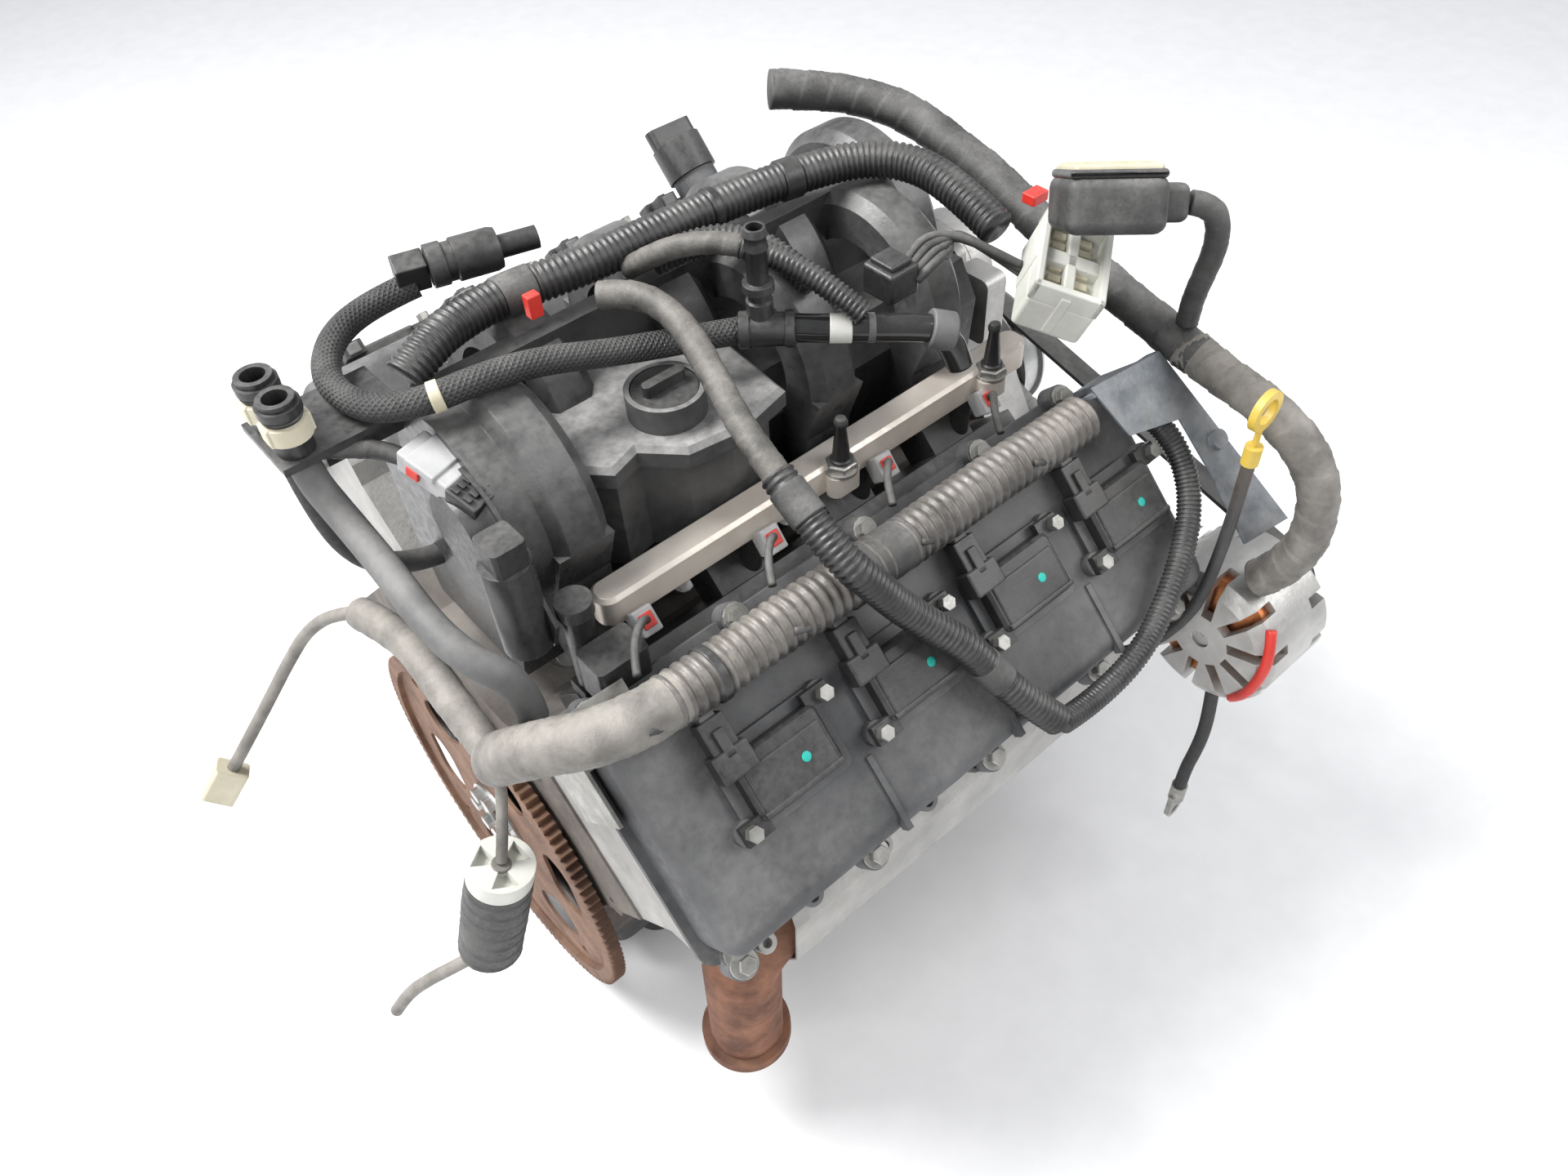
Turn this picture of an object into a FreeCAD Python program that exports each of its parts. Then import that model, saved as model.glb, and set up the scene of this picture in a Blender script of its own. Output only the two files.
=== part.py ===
import FreeCAD, Part
import math
import os

# A 90 degree V8 engine with its dress: +X to the front (pulley end), +Y left, +Z up, in millimetres.
# The crank turns on the X axis, and x = 0 is the rear face of the block.
Vec = FreeCAD.Vector
ORIGIN = Vec(0, 0, 0)
X_AXIS = Vec(1, 0, 0)
Y_AXIS = Vec(0, 1, 0)
Z_AXIS = Vec(0, 0, 1)
os.makedirs("parts", exist_ok=True)

# ---- block and crank train ----
front_wall = 16.45
bank_angle = 45.0
bore_spacing = 113.3
bore_radius = 49.75
bank_stagger = 24.0
rear_cylinder_x = 95.0
deck_height = 235.0
deck_inner = 85.0
deck_outer = 80.0
valley_z = 205.0
pan_rail_z = -70.0
pan_rail_half = 125.0
crankcase_radius = 98.0
main_radius = 32.5
main_width = 24.0
shaft_clearance = 0.06
rod_clearance = 0.5
seal_clearance = 0.5
crank_throw = 45.45
pin_radius = 26.5
web_thickness = 19.0
counterweight_radius = 86.0
rod_length = 158.5
rod_width = 20.0
piston_clearance = 0.45
piston_height = 31.0
skirt_length = 28.0
wrist_pin_radius = 12.0
cam_z = 163.0
cam_journal_radius = 26.0
cam_base_radius = 19.0
cam_lift = 6.0
pan_depth = 120.0
pan_wall = 4.0
seal_wall = 38.0
crank_flange_radius = 42.0
crank_flange_thickness = 8.0

# ---- heads and covers, in bank axes: x, inboard, outward along the cylinders ----
head_rear_x = 2.0
head_length = 490.0
head_height = 115.0
cover_flange_u = deck_height + head_height
cover_flange_thickness = 7.0
cover_length = 504.0
cover_outboard = 98.0
cover_inboard = 95.0
cover_depth = 58.0
cover_top_u = cover_flange_u + cover_depth
cover_round = 15.0
cover_bolt_spacing = 121.5
coil_length = 70.0
coil_width = 46.0
coil_top_u = 425.0
coil_shift = 4.0
bolt_across = 12.0

# ---- intake, fuel ----
plenum_bottom_z = 230.0
plenum_top_z = 388.0
plenum_half = 84.0
intake_rear_x = 30.0
intake_front_x = 492.0
runner_outer = 85.0
runner_inner = 49.0
runner_width = 44.0
runner_centre_z = 385.0
runner_centre_y = 40.0
port_low_u = 256.0
port_high_u = 296.0
shelf_top_z = 420.0
rail_y = 133.0
rail_z = 337.0
rail_rear_x = 66.0
rail_length = 426.0
rail_width = 25.0
rail_height = 24.0
injector_radius = 8.0

# ---- rear and front of the crank ----
flexplate_radius = 166.0
flexplate_thickness = 3.0
ring_gear_radius = 178.0
ring_gear_width = 12.0
ring_gear_teeth = 130
timing_cover_front = 574.0
chain_x = 540.0
chain_width = 12.0
crank_sprocket_teeth = 22
sprocket_pitch = 9.525
belt_x = 612.0
belt_width = 22.0
belt_thickness = 4.0
belt_clearance = 0.3
damper_radius = 80.0
alternator_y = -352.0
alternator_z = 140.0
alternator_radius = 66.0
pulley_wall = 3.0

COS45 = math.cos(math.radians(bank_angle))
SIN45 = math.sin(math.radians(bank_angle))
SIDES = ("right", "left")
SIGN = {"right": -1.0, "left": 1.0}


# ---- helpers ----
def box(x0, x1, y0, y1, z0, z1):
    return Part.makeBox(x1 - x0, y1 - y0, z1 - z0, Vec(x0, y0, z0))


def rod(start, end, radius):
    start = Vec(*start)
    direction = Vec(*end) - start
    return Part.makeCylinder(radius, direction.Length, start, direction)


def cone(start, end, radius, end_radius):
    start = Vec(*start)
    direction = Vec(*end) - start
    return Part.makeCone(radius, end_radius, direction.Length, start, direction)


def polygon_wire(points):
    points = [Vec(*p) for p in points]
    return Part.makePolygon(points + points[:1])


def prism_x(outline, x0, length):
    """A (y, z) outline drawn out along X."""
    wire = polygon_wire([(x0, y, z) for y, z in outline])
    return Part.Face(wire).extrude(Vec(length, 0, 0))


def prism_y(outline, y0, length):
    """An (x, z) outline drawn out along Y."""
    wire = polygon_wire([(x, y0, z) for x, z in outline])
    return Part.Face(wire).extrude(Vec(0, length, 0))


def prism_z(outline, z0, height):
    """An (x, y) outline drawn out along Z."""
    wire = polygon_wire([(x, y, z0) for x, y in outline])
    return Part.Face(wire).extrude(Vec(0, 0, height))


def regular(start, end, across_corners, sides=6):
    """A regular bar, such as a hexagon head, from start to end."""
    start = Vec(*start)
    direction = Vec(*end) - start
    turn = FreeCAD.Rotation(Z_AXIS, direction)
    points = []
    for k in range(sides):
        angle = 2 * math.pi * k / sides
        points.append(start + turn.multVec(Vec(math.cos(angle), math.sin(angle), 0) * across_corners / 2))
    return Part.Face(Part.makePolygon(points + points[:1])).extrude(direction)


def hex_bolt(foot, direction, across=bolt_across, height=8.0, washer=True):
    """A hexagon head on its flange, seated on foot."""
    foot = Vec(*foot)
    direction = Vec(*direction).normalize()
    head = regular(foot, foot + direction * height, across * 1.15)
    if not washer:
        return head
    flange = regular(foot, foot + direction * 2.5, across * 1.7, 12)
    return head.fuse(flange)


def rounded_box(x0, x1, y0, y1, z0, z1, corner, axis=Z_AXIS):
    """A box whose edges along the axis are round."""
    body = box(x0, x1, y0, y1, z0, z1)
    edges = []
    for edge in body.Edges:
        way = edge.Vertexes[1].Point - edge.Vertexes[0].Point
        if way.cross(axis).Length < 1e-6:
            edges.append(edge)
    return body.makeFillet(corner, edges)


def edges_at(shape, test):
    return [edge for edge in shape.Edges if test(edge)]


def fused(shapes):
    shapes = list(shapes)
    body = shapes[0]
    if len(shapes) > 1:
        body = body.fuse(shapes[1:])
    return body.removeSplitter()


def on_bank(shape, side):
    """Turns a shape from bank axes to the engine. The left bank is the mirrored one, further forward."""
    turned = shape.copy()
    turned.rotate(ORIGIN, X_AXIS, bank_angle)
    if side == "left":
        turned = turned.mirror(ORIGIN, Y_AXIS)
        turned.translate(Vec(bank_stagger, 0, 0))
    return turned


def mirrored(shape):
    return shape.mirror(ORIGIN, Y_AXIS)


def bank_point(x, inboard, outward, side="right"):
    """The engine place of a point in bank axes."""
    y = inboard * COS45 - outward * SIN45
    z = inboard * SIN45 + outward * COS45
    if side == "left":
        return (x + bank_stagger, -y, z)
    return (x, y, z)


def tangent_path(points, least_turn=0.02):
    """The straight runs of a route and the arcs between them, each as large as its runs allow."""
    points = [Vec(*p) for p in points]
    runs = []
    start = points[0]
    for before, here, after in zip(points, points[1:], points[2:]):
        way_in = (here - before).normalize()
        way_out = (after - here).normalize()
        turn = way_in.getAngle(way_out)
        if turn < least_turn:
            continue
        cut = 0.45 * min((here - before).Length, (after - here).Length)
        radius = cut / math.tan(turn / 2)
        inward = (way_out - way_in).normalize()
        centre = here + inward * (radius / math.cos(turn / 2))
        runs.append((start, here - way_in * cut, centre, way_in.cross(way_out), turn, radius))
        start = here + way_out * cut
    runs.append((start, points[-1], None, None, 0.0, 0.0))
    return runs


def tube(name, points, radius, sides=0):
    """A hose, loom or cord: its section drawn along each run and turned round each bend."""
    runs = tangent_path(points)
    start = runs[0][0]
    way = runs[0][1] - start
    if sides:
        turn = FreeCAD.Rotation(Z_AXIS, way)
        corners = []
        for k in range(sides):
            angle = 2 * math.pi * k / sides
            corners.append(start + turn.multVec(Vec(math.cos(angle), math.sin(angle), 0) * radius))
        section = Part.Face(Part.makePolygon(corners + corners[:1]))
    else:
        section = Part.Face(Part.Wire(Part.makeCircle(radius, start, way)))
    pieces = []
    length = 0.0
    radii = []
    for run_start, run_end, centre, axis, turn, bend in runs:
        step = run_end - run_start
        length += step.Length + turn * bend
        pieces.append(section.extrude(step))
        section.translate(step)
        if centre is not None:
            pieces.append(section.revolve(centre, axis, math.degrees(turn)))
            section.rotate(centre, axis, math.degrees(turn))
            radii.append(bend)
    solid = pieces[0].fuse(pieces[1:])
    if solid.Solids:
        solid = solid.Solids[0] if len(solid.Solids) == 1 else solid
    share = solid.Volume / (section.Area * length)
    tightest = min(radii) if radii else 0.0
    print(f"{name}: {length:.0f} long, tightest bend {tightest:.0f}, volume share {share:.3f}")
    return solid


def seated(piece, neighbours):
    """The piece without the room that its neighbours take, so that it sits on them face to face."""
    rest = piece.cut(neighbours)
    return max(rest.Solids, key=lambda solid: solid.Volume)


def export(name, solids):
    """Writes one sub-part: one solid, or a group of like solids."""
    shapes = []
    for solid in solids:
        shapes.extend(solid.Solids)
    for number, solid in enumerate(shapes):
        if not solid.isValid() or solid.Volume <= 0:
            print(f"{name}: solid {number} is not sound, volume {solid.Volume:.1f}")
    shape = shapes[0] if len(shapes) == 1 else Part.makeCompound(shapes)
    shape.exportStep(f"parts/{name}.step")


# ---- places worked out from the driving dimensions ----
cylinder_x = [rear_cylinder_x + k * bore_spacing for k in range(4)]
pin_x = [x + bank_stagger / 2 for x in cylinder_x]
main_x = [pin_x[0] - bore_spacing / 2 + k * bore_spacing for k in range(5)]
block_length = main_x[-1] + front_wall
# Pins of a cross-plane crank, as turns from straight up, from the rear.
pin_turns = [180.0, 270.0, 90.0, 0.0]
front_face_x = block_length
pan_top_z = pan_rail_z
pan_bottom_z = pan_rail_z - pan_depth
journal_radius = main_radius - shaft_clearance
crank_sprocket_radius = sprocket_pitch * crank_sprocket_teeth / (2 * math.pi)
cam_sprocket_teeth = 2 * crank_sprocket_teeth
cam_sprocket_radius = 2 * crank_sprocket_radius


# ---- block, caps and pan ----
def deck_corner(outboard):
    return (-SIN45 * (deck_height + outboard), COS45 * (deck_height - outboard))


def block_outline():
    outer_y, outer_z = deck_corner(deck_outer)
    inner_y, inner_z = deck_corner(-deck_inner)
    foot = 0.27 * (outer_z - pan_rail_z)
    right = [
        (-pan_rail_half, pan_rail_z),
        (-pan_rail_half, pan_rail_z + foot),
        (outer_y + 63.0, outer_z - 63.0),
        (outer_y, outer_z),
        (inner_y, inner_z),
        (inner_y + 38.0, valley_z),
    ]
    return right + [(-y, z) for y, z in reversed(right)]


def bay_ranges():
    half = main_width / 2
    return [(a + half, b - half) for a, b in zip(main_x, main_x[1:])]


def make_block():
    block = prism_x(block_outline(), 0, block_length)
    cuts = []
    for side in SIDES:
        for x in cylinder_x:
            bore = Part.makeCylinder(bore_radius, deck_height, Vec(x, 0, 60.0))
            cuts.append(on_bank(bore, side))
    for x0, x1 in bay_ranges():
        cuts.append(rod((x0, 0, 0), (x1, 0, 0), crankcase_radius))
        cuts.append(box(x0, x1, -crankcase_radius, crankcase_radius, pan_rail_z - 1, 0))
    for x in main_x:
        cap_end = front_face_x + 1 if x == main_x[-1] else x + main_width / 2
        cuts.append(box(x - main_width / 2, cap_end, -75, 75, pan_rail_z - 1, 0))
    cuts.append(rod((-1, 0, 0), (block_length + 1, 0, 0), main_radius))
    cuts.append(rod((-1, 0, 0), (seal_wall, 0, 0), crank_flange_radius + seal_clearance))
    cuts.append(rod((20, 0, cam_z), (block_length + 1, 0, cam_z), cam_journal_radius))
    for side in SIDES:
        for x in lifter_places(side):
            cuts.append(on_side(rod(lifter_foot(x), lifter_point(x, 90), lifter_radius + 0.2), side))
    for side in SIDES:
        for x in mount_bolt_x:
            hole = rod((x, -pan_rail_half - 1, mount_bolt_z), (x, -pan_rail_half + 18, mount_bolt_z), mount_hole_radius)
            cuts.append(on_side(hole, side))
    block = block.cut(cuts)
    bosses = []
    for y, z in bell_bolt_places():
        bosses.append(rod((0, y, z), (28, y, z), 13))
    block = block.fuse(bosses)
    holes = [rod((-1, y, z), (22, y, z), bell_hole_radius) for y, z in bell_bolt_places()]
    return block.cut(holes)


mount_bolt_x = (210.0, 290.0)
mount_bolt_z = -58.0
mount_hole_radius = 5.0
bell_hole_radius = 5.0
bell_bolts_low = (178.0, 76.0)
bell_bolts_high = (105.0, 170.0)


def bell_bolt_places():
    """The bolts of the bell housing: two pairs outside the ring gear."""
    places = []
    for y, z in (bell_bolts_low, bell_bolts_high):
        places.extend([(-y, z), (y, z)])
    return places


def make_main_caps():
    caps = []
    for x in main_x:
        x0 = x - main_width / 2 + 0.2
        x1 = x + main_width / 2 - 0.2
        outline = [(-74.5, 0), (-74.5, -30), (-48, -58), (48, -58), (74.5, -30), (74.5, 0)]
        cap = prism_x(outline, x0, x1 - x0).cut(rod((x0 - 1, 0, 0), (x1 + 1, 0, 0), main_radius))
        caps.append(cap)
    return caps


def make_oil_pan():
    flange = box(0, block_length, -pan_rail_half, pan_rail_half, pan_top_z - 8, pan_top_z)
    shallow = rounded_box(16, block_length - 16, -108, 108, pan_top_z - 62, pan_top_z - 8, 20)
    deep = rounded_box(60, 420, -96, 96, pan_bottom_z, pan_top_z - 60, 24)
    pan = flange.fuse([shallow, deep])
    inside_high = rounded_box(
        16 + pan_wall, block_length - 16 - pan_wall, -108 + pan_wall, 108 - pan_wall,
        pan_top_z - 62 + pan_wall, pan_top_z + 1, 16)
    inside_low = rounded_box(
        60 + pan_wall, 420 - pan_wall, -96 + pan_wall, 96 - pan_wall,
        pan_bottom_z + pan_wall, pan_top_z - 50, 20)
    plug = hex_bolt((240, -96, pan_bottom_z + 22), (0, -1, 0), 16, 9)
    return pan.cut([inside_high, inside_low]).removeSplitter(), plug


# ---- crank train ----
def crank_web(x0):
    """One web, its pin end up: a round end on the pin and a counterweight opposite."""
    nose = pin_radius + 8.0
    spread = math.radians(62)
    low = math.radians(125)
    top = Vec(x0, 0, crank_throw + nose)
    right = Vec(x0, nose * math.sin(spread), crank_throw + nose * math.cos(spread))
    left = Vec(x0, -right.y, right.z)
    hip_right = Vec(x0, counterweight_radius * math.sin(low), counterweight_radius * math.cos(low))
    hip_left = Vec(x0, -hip_right.y, hip_right.z)
    foot = Vec(x0, 0, -counterweight_radius)
    edges = [
        Part.Arc(left, top, right).toShape(),
        Part.LineSegment(right, hip_right).toShape(),
        Part.Arc(hip_right, foot, hip_left).toShape(),
        Part.LineSegment(hip_left, left).toShape(),
    ]
    return Part.Face(Part.Wire(edges)).extrude(Vec(web_thickness, 0, 0))


def pin_place(number):
    turn = math.radians(pin_turns[number])
    return (-crank_throw * math.sin(turn), crank_throw * math.cos(turn))


def make_crankshaft():
    reach = bore_spacing / 2 - main_width / 2 - seal_clearance
    pieces = []
    for x in main_x:
        half = main_width / 2 + seal_clearance
        pieces.append(rod((x - half, 0, 0), (x + half, 0, 0), journal_radius))
    for number, x in enumerate(pin_x):
        y, z = pin_place(number)
        pieces.append(rod((x - reach, y, z), (x + reach, y, z), pin_radius))
        for x0 in (x - reach, x + reach - web_thickness):
            web = crank_web(x0)
            web.rotate(ORIGIN, X_AXIS, pin_turns[number])
            pieces.append(web)
    pieces.append(rod((0, 0, 0), (main_x[0], 0, 0), journal_radius))
    pieces.append(rod((-crank_flange_thickness, 0, 0), (seal_wall - 6, 0, 0), crank_flange_radius))
    pieces.append(rod((main_x[-1], 0, 0), (snout_end_x, 0, 0), snout_radius))
    crank = pieces[0].fuse(pieces[1:])
    pilot = rod((-crank_flange_thickness - 1, 0, 0), ORIGIN, pilot_radius)
    return crank.cut(pilot).removeSplitter()


snout_radius = 22.0
snout_end_x = 626.0
pilot_radius = 21.0


def piston_height_at(number, side):
    """How far the wrist pin stands from the crank axis."""
    y, z = pin_place(number)
    along = z * COS45 + SIGN[side] * y * SIN45
    return along + math.sqrt(rod_length ** 2 - (crank_throw ** 2 - along ** 2))


def make_piston(x, wrist_u, side):
    crown = Part.makeCylinder(
        bore_radius - piston_clearance, piston_height + skirt_length, Vec(x, 0, wrist_u - skirt_length))
    hollow = Part.makeCylinder(bore_radius - 9, piston_height + skirt_length - 9, Vec(x, 0, wrist_u - skirt_length - 1))
    bosses = []
    for x0, x1 in ((x - 43, x - 13), (x + 13, x + 43)):
        bosses.append(rod((x0, 0, wrist_u), (x1, 0, wrist_u), wrist_pin_radius + 7))
    pin = rod((x - 41, 0, wrist_u), (x + 41, 0, wrist_u), wrist_pin_radius)
    piston = crown.cut(hollow).fuse(bosses).fuse(pin)
    return on_bank(piston.removeSplitter(), side)


def make_rod(x, number, side):
    """A connecting rod as an upright bar that is turned onto its crank pin."""
    big = pin_radius + 15.0
    small = wrist_pin_radius + 7.0
    half = rod_width / 2
    body = rod((-half, 0, 0), (half, 0, 0), big)
    body = body.fuse(rod((-half, 0, rod_length), (half, 0, rod_length), small))
    beam = [(-15, 30), (-10, rod_length - 12), (10, rod_length - 12), (15, 30)]
    body = body.fuse(prism_x(beam, -half * 0.7, half * 1.4))
    body = body.cut(rod((-half - 1, 0, 0), (half + 1, 0, 0), pin_radius + rod_clearance))
    body = body.cut(rod((-half - 1, 0, rod_length), (half + 1, 0, rod_length), wrist_pin_radius + 0.3))
    y, z = pin_place(number)
    wrist_u = piston_height_at(number, side)
    wrist = bank_point(x, 0, wrist_u, side)
    lean = math.degrees(math.atan2(-(wrist[1] - y), wrist[2] - z))
    body.rotate(ORIGIN, X_AXIS, lean)
    offset = rod_width / 2 + 0.8
    body.translate(Vec(pin_x[number] + SIGN[side] * offset, y, z))
    return body


def make_camshaft():
    pieces = [rod((24, 0, cam_z), (chain_x + chain_width, 0, cam_z), cam_base_radius - 3)]
    for x in main_x:
        pieces.append(rod((x - 9, 0, cam_z), (x + 9, 0, cam_z), cam_journal_radius - shaft_clearance))
    for number, (x, nose) in enumerate(lobe_places()):
        pieces.append(cam_lobe(x, nose))
    return fused(pieces)


lobe_width = 13.0
lifter_radius = 10.5
lifter_spread = 24.0
lifter_lean = 45.0


def lifter_places(side):
    """The two lifters of every cylinder of a bank."""
    shift = bank_stagger if side == "left" else 0.0
    places = []
    for x in cylinder_x:
        places.append(x + shift - lifter_spread)
        places.append(x + shift + lifter_spread)
    return places


def lifter_point(x, distance):
    """A place on a lifter's axis on the right side, measured from the cam axis."""
    lean = math.radians(lifter_lean)
    return (x, -distance * math.sin(lean), cam_z + distance * math.cos(lean))


def lifter_foot(x):
    return lifter_point(x, cam_base_radius + cam_lift + 0.4)


def on_side(shape, side):
    return mirrored(shape) if side == "left" else shape


def lobe_places():
    """Every lobe's middle along the shaft and the way that its nose points."""
    firing_turns = [0.0, 135.0, 270.0, 45.0, 180.0, 315.0, 90.0, 225.0]
    places = []
    for number, side in enumerate(SIDES):
        for k, x in enumerate(lifter_places(side)):
            nose = firing_turns[(k // 2) * 2 + number] + 110.0 * (k % 2)
            places.append((x, nose))
    return places


def cam_lobe(x, nose):
    """A base circle with a raised nose, as a ten sided outline."""
    outline = []
    for k in range(10):
        angle = 2 * math.pi * k / 10
        rise = cam_lift * max(0.0, math.cos(angle)) ** 2
        radius = cam_base_radius + rise
        outline.append((radius * math.sin(angle), cam_z + radius * math.cos(angle)))
    lobe = prism_x(outline, x - lobe_width / 2, lobe_width)
    lobe.rotate(Vec(0, 0, cam_z), X_AXIS, nose)
    return lobe


def sprocket(x0, z, radius, teeth, bore):
    """A chain wheel with a pointed tooth for every pitch."""
    outline = []
    for k in range(2 * teeth):
        angle = math.pi * k / teeth
        reach = radius + (2.2 if k % 2 else -3.0)
        outline.append((reach * math.sin(angle), z + reach * math.cos(angle)))
    wheel = prism_x(outline, x0, chain_width - 4)
    hub = rod((x0 - 6, 0, z), (x0 + chain_width - 2, 0, z), bore + 9)
    return wheel.fuse(hub).cut(rod((x0 - 7, 0, z), (x0 + chain_width, 0, z), bore)).removeSplitter()


def loop_outline(wheels, extra):
    """A closed belt line round wheels (y, z, radius, sense): sense -1 runs on the belt's back."""
    count = len(wheels)
    points = []
    for k in range(count):
        y1, z1, r1, s1 = wheels[k]
        y2, z2, r2, s2 = wheels[(k + 1) % count]
        first = (r1 + extra[0 if s1 > 0 else 1]) * s1
        second = (r2 + extra[0 if s2 > 0 else 1]) * s2
        dy = y2 - y1
        dz = z2 - z1
        way = math.atan2(dz, dy) - math.asin((second - first) / math.hypot(dy, dz))
        ny = -math.sin(way)
        nz = math.cos(way)
        points.append(((y1 - first * ny, z1 - first * nz), (y2 - second * ny, z2 - second * nz)))
    return points


def loop_wire(wheels, extra, x):
    spans = loop_outline(wheels, extra)
    edges = []
    for k, (leave, arrive) in enumerate(spans):
        edges.append(Part.LineSegment(Vec(x, *leave), Vec(x, *arrive)).toShape())
        y, z, radius, sense = wheels[(k + 1) % len(wheels)]
        away = spans[(k + 1) % len(spans)][0]
        reach = math.hypot(arrive[0] - y, arrive[1] - z)
        a0 = math.atan2(arrive[1] - z, arrive[0] - y)
        a1 = math.atan2(away[1] - z, away[0] - y)
        sweep = (a1 - a0) * sense % (2 * math.pi)
        middle = a0 + sense * sweep / 2
        through = Vec(x, y + reach * math.cos(middle), z + reach * math.sin(middle))
        edges.append(Part.Arc(Vec(x, *arrive), through, Vec(x, *away)).toShape())
    return Part.Wire(edges)


def closed_band(wheels, clearance, thickness, x0, width):
    """A belt or chain: the space between an inner and an outer line round the same wheels."""
    outer = loop_wire(wheels, (clearance + thickness, clearance), x0)
    inner = loop_wire(wheels, (clearance, clearance + thickness), x0)
    solid = Part.Face(outer).extrude(Vec(width, 0, 0))
    return solid.cut(Part.Face(inner).extrude(Vec(width, 0, 0)))


def make_timing_chain():
    wheels = [(0, 0, crank_sprocket_radius, 1), (0, cam_z, cam_sprocket_radius, 1)]
    return closed_band(wheels, 2.6, 4.5, chain_x, chain_width - 4)


# ---- heads, valve train and covers ----
def head_outline():
    low = deck_height
    high = cover_flange_u
    return [
        (-deck_outer, low),
        (-deck_outer, low + 62),
        (-cover_outboard + 3, high - 24),
        (-cover_outboard + 3, high),
        (cover_inboard - 3, high),
        (cover_inboard - 3, high - 20),
        (deck_inner, low + 78),
        (deck_inner, low),
    ]


valve_stem_radius = 4.0
valve_head_radius = 14.0
rocker_floor_height = 77.0
rocker_floor_u = deck_height + rocker_floor_height
valve_tip_drop = 5.0
valve_tip_u = cover_flange_u - valve_tip_drop
rocker_shaft_u = valve_tip_u + 17.0


def valve_line(x, inboard_sign):
    """The seat end and tip of a valve: the two lean apart over a domed chamber."""
    return (x, inboard_sign * 16.0, deck_height + 14), (x, inboard_sign * 34.0, valve_tip_u)


def make_head(side):
    head = prism_x(head_outline(), head_rear_x, head_length)
    room = box(head_rear_x + 14, head_rear_x + head_length - 14, -80, 76, rocker_floor_u, cover_flange_u + 1)
    cuts = [room]
    for x in cylinder_x:
        cuts.append(Part.makeCone(bore_radius - 3, 30, 20, Vec(x, 0, deck_height - 0.01)))
        for inboard_sign in (-1, 1):
            seat, tip = valve_line(x, inboard_sign)
            cuts.append(regular(seat, tip, 2 * valve_stem_radius + 3, 8))
    head = head.cut(cuts)
    ports = []
    for x in cylinder_x:
        ports.append(box(x - 20, x + 20, -deck_outer - 6, -deck_outer + 1, deck_height + 14, deck_height + 52))
    return on_bank(fused([head] + ports), side)


def make_valves(side):
    valves = []
    for x in cylinder_x:
        for inboard_sign in (-1, 1):
            seat, tip = valve_line(x, inboard_sign)
            seat = Vec(*seat)
            tip = Vec(*tip)
            way = (tip - seat).normalize()
            foot = seat - way * 9
            face = regular(foot, foot + way * 3, 2 * valve_head_radius, 12)
            stem = regular(foot + way * 2, tip, 2 * valve_stem_radius, 8)
            spring_foot = tip - way * ((valve_tip_u - rocker_floor_u - 4) / way.z)
            spring = regular(spring_foot, tip - way * 4, 24, 8)
            valves.append(on_bank(fused([face, stem, spring]), side))
    return valves


def make_rockers(side):
    rockers = []
    for x in cylinder_x:
        pieces = []
        for inboard_sign in (-1, 1):
            tip = inboard_sign * 34.0
            outline = [(tip - 9, valve_tip_u + 1.2), (tip + 9, valve_tip_u + 1.2), (12, rocker_shaft_u + 4), (-12, rocker_shaft_u + 4)]
            pieces.append(prism_x(outline, x - 8, 16))
            foot = x + inboard_sign * 34
            pieces.append(box(foot - 6, foot + 6, -8, 8, rocker_floor_u, rocker_shaft_u - 2))
        pieces.append(regular((x - 42, 0, rocker_shaft_u), (x + 42, 0, rocker_shaft_u), 16, 8))
        rockers.append(on_bank(fused(pieces), side))
    return rockers


def make_lifters(side):
    """The roller lifters, each in its own bore over a lobe."""
    lifters = []
    for x in lifter_places(side):
        body = rod(lifter_foot(x), lifter_point(x, 80), lifter_radius)
        lifters.append(on_side(body, side))
    return lifters


def cover_bolt_x():
    return [head_rear_x + 14 + k * cover_bolt_spacing for k in range(4)] + [head_rear_x + head_length - 16]


cover_boss_radius = 11.0
cover_boss_height = 16.0
cover_boss_top_u = cover_flange_u + cover_boss_height


def make_cover(side):
    x0 = head_rear_x - 7
    x1 = x0 + cover_length
    flange = rounded_box(x0, x1, -cover_outboard, cover_inboard, cover_flange_u, cover_flange_u + cover_flange_thickness, 12)
    dome = rounded_box(x0 + 6, x1 - 6, -cover_outboard + 9, cover_inboard - 8, cover_flange_u, cover_top_u, 16)
    top = edges_at(dome, lambda e: abs(e.BoundBox.ZMin - cover_top_u) < 1e-3 and abs(e.BoundBox.ZMax - cover_top_u) < 1e-3)
    dome = dome.makeFillet(cover_round, top)
    pieces = [flange, dome]
    for x in cover_bolt_x():
        for w in (-cover_outboard + 3, cover_inboard - 3):
            pieces.append(Part.makeCylinder(cover_boss_radius, cover_boss_top_u - cover_flange_u, Vec(x, w, cover_flange_u)))
    for x in cylinder_x:
        y = coil_shift
        pad = rounded_box(x - 44, x + 44, y - 31, y + 31, cover_top_u - 5, cover_top_u + 5, 8)
        pieces.append(pad)
        for sx in (-1, 1):
            boss = Part.makeCylinder(9.0, 24, Vec(x + sx * 45, y + sx * 23.3, cover_top_u - 16))
            pieces.append(boss)
    for x in cylinder_x[:-1]:
        middle = x + bore_spacing / 2
        pieces.append(box(middle - 2.5, middle + 2.5, -cover_outboard + 9, -30, cover_top_u - 6, cover_top_u + 2))
    pieces.extend(cover_lugs())
    cover = pieces[0].fuse(pieces[1:])
    room = box(x0 + 22, x1 - 22, -cover_outboard + 20, cover_inboard - 20, cover_flange_u - 1, cover_top_u - 12)
    cover = cover.cut([room] + cover_lug_holes())
    return on_bank(cover.removeSplitter(), side)


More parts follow.
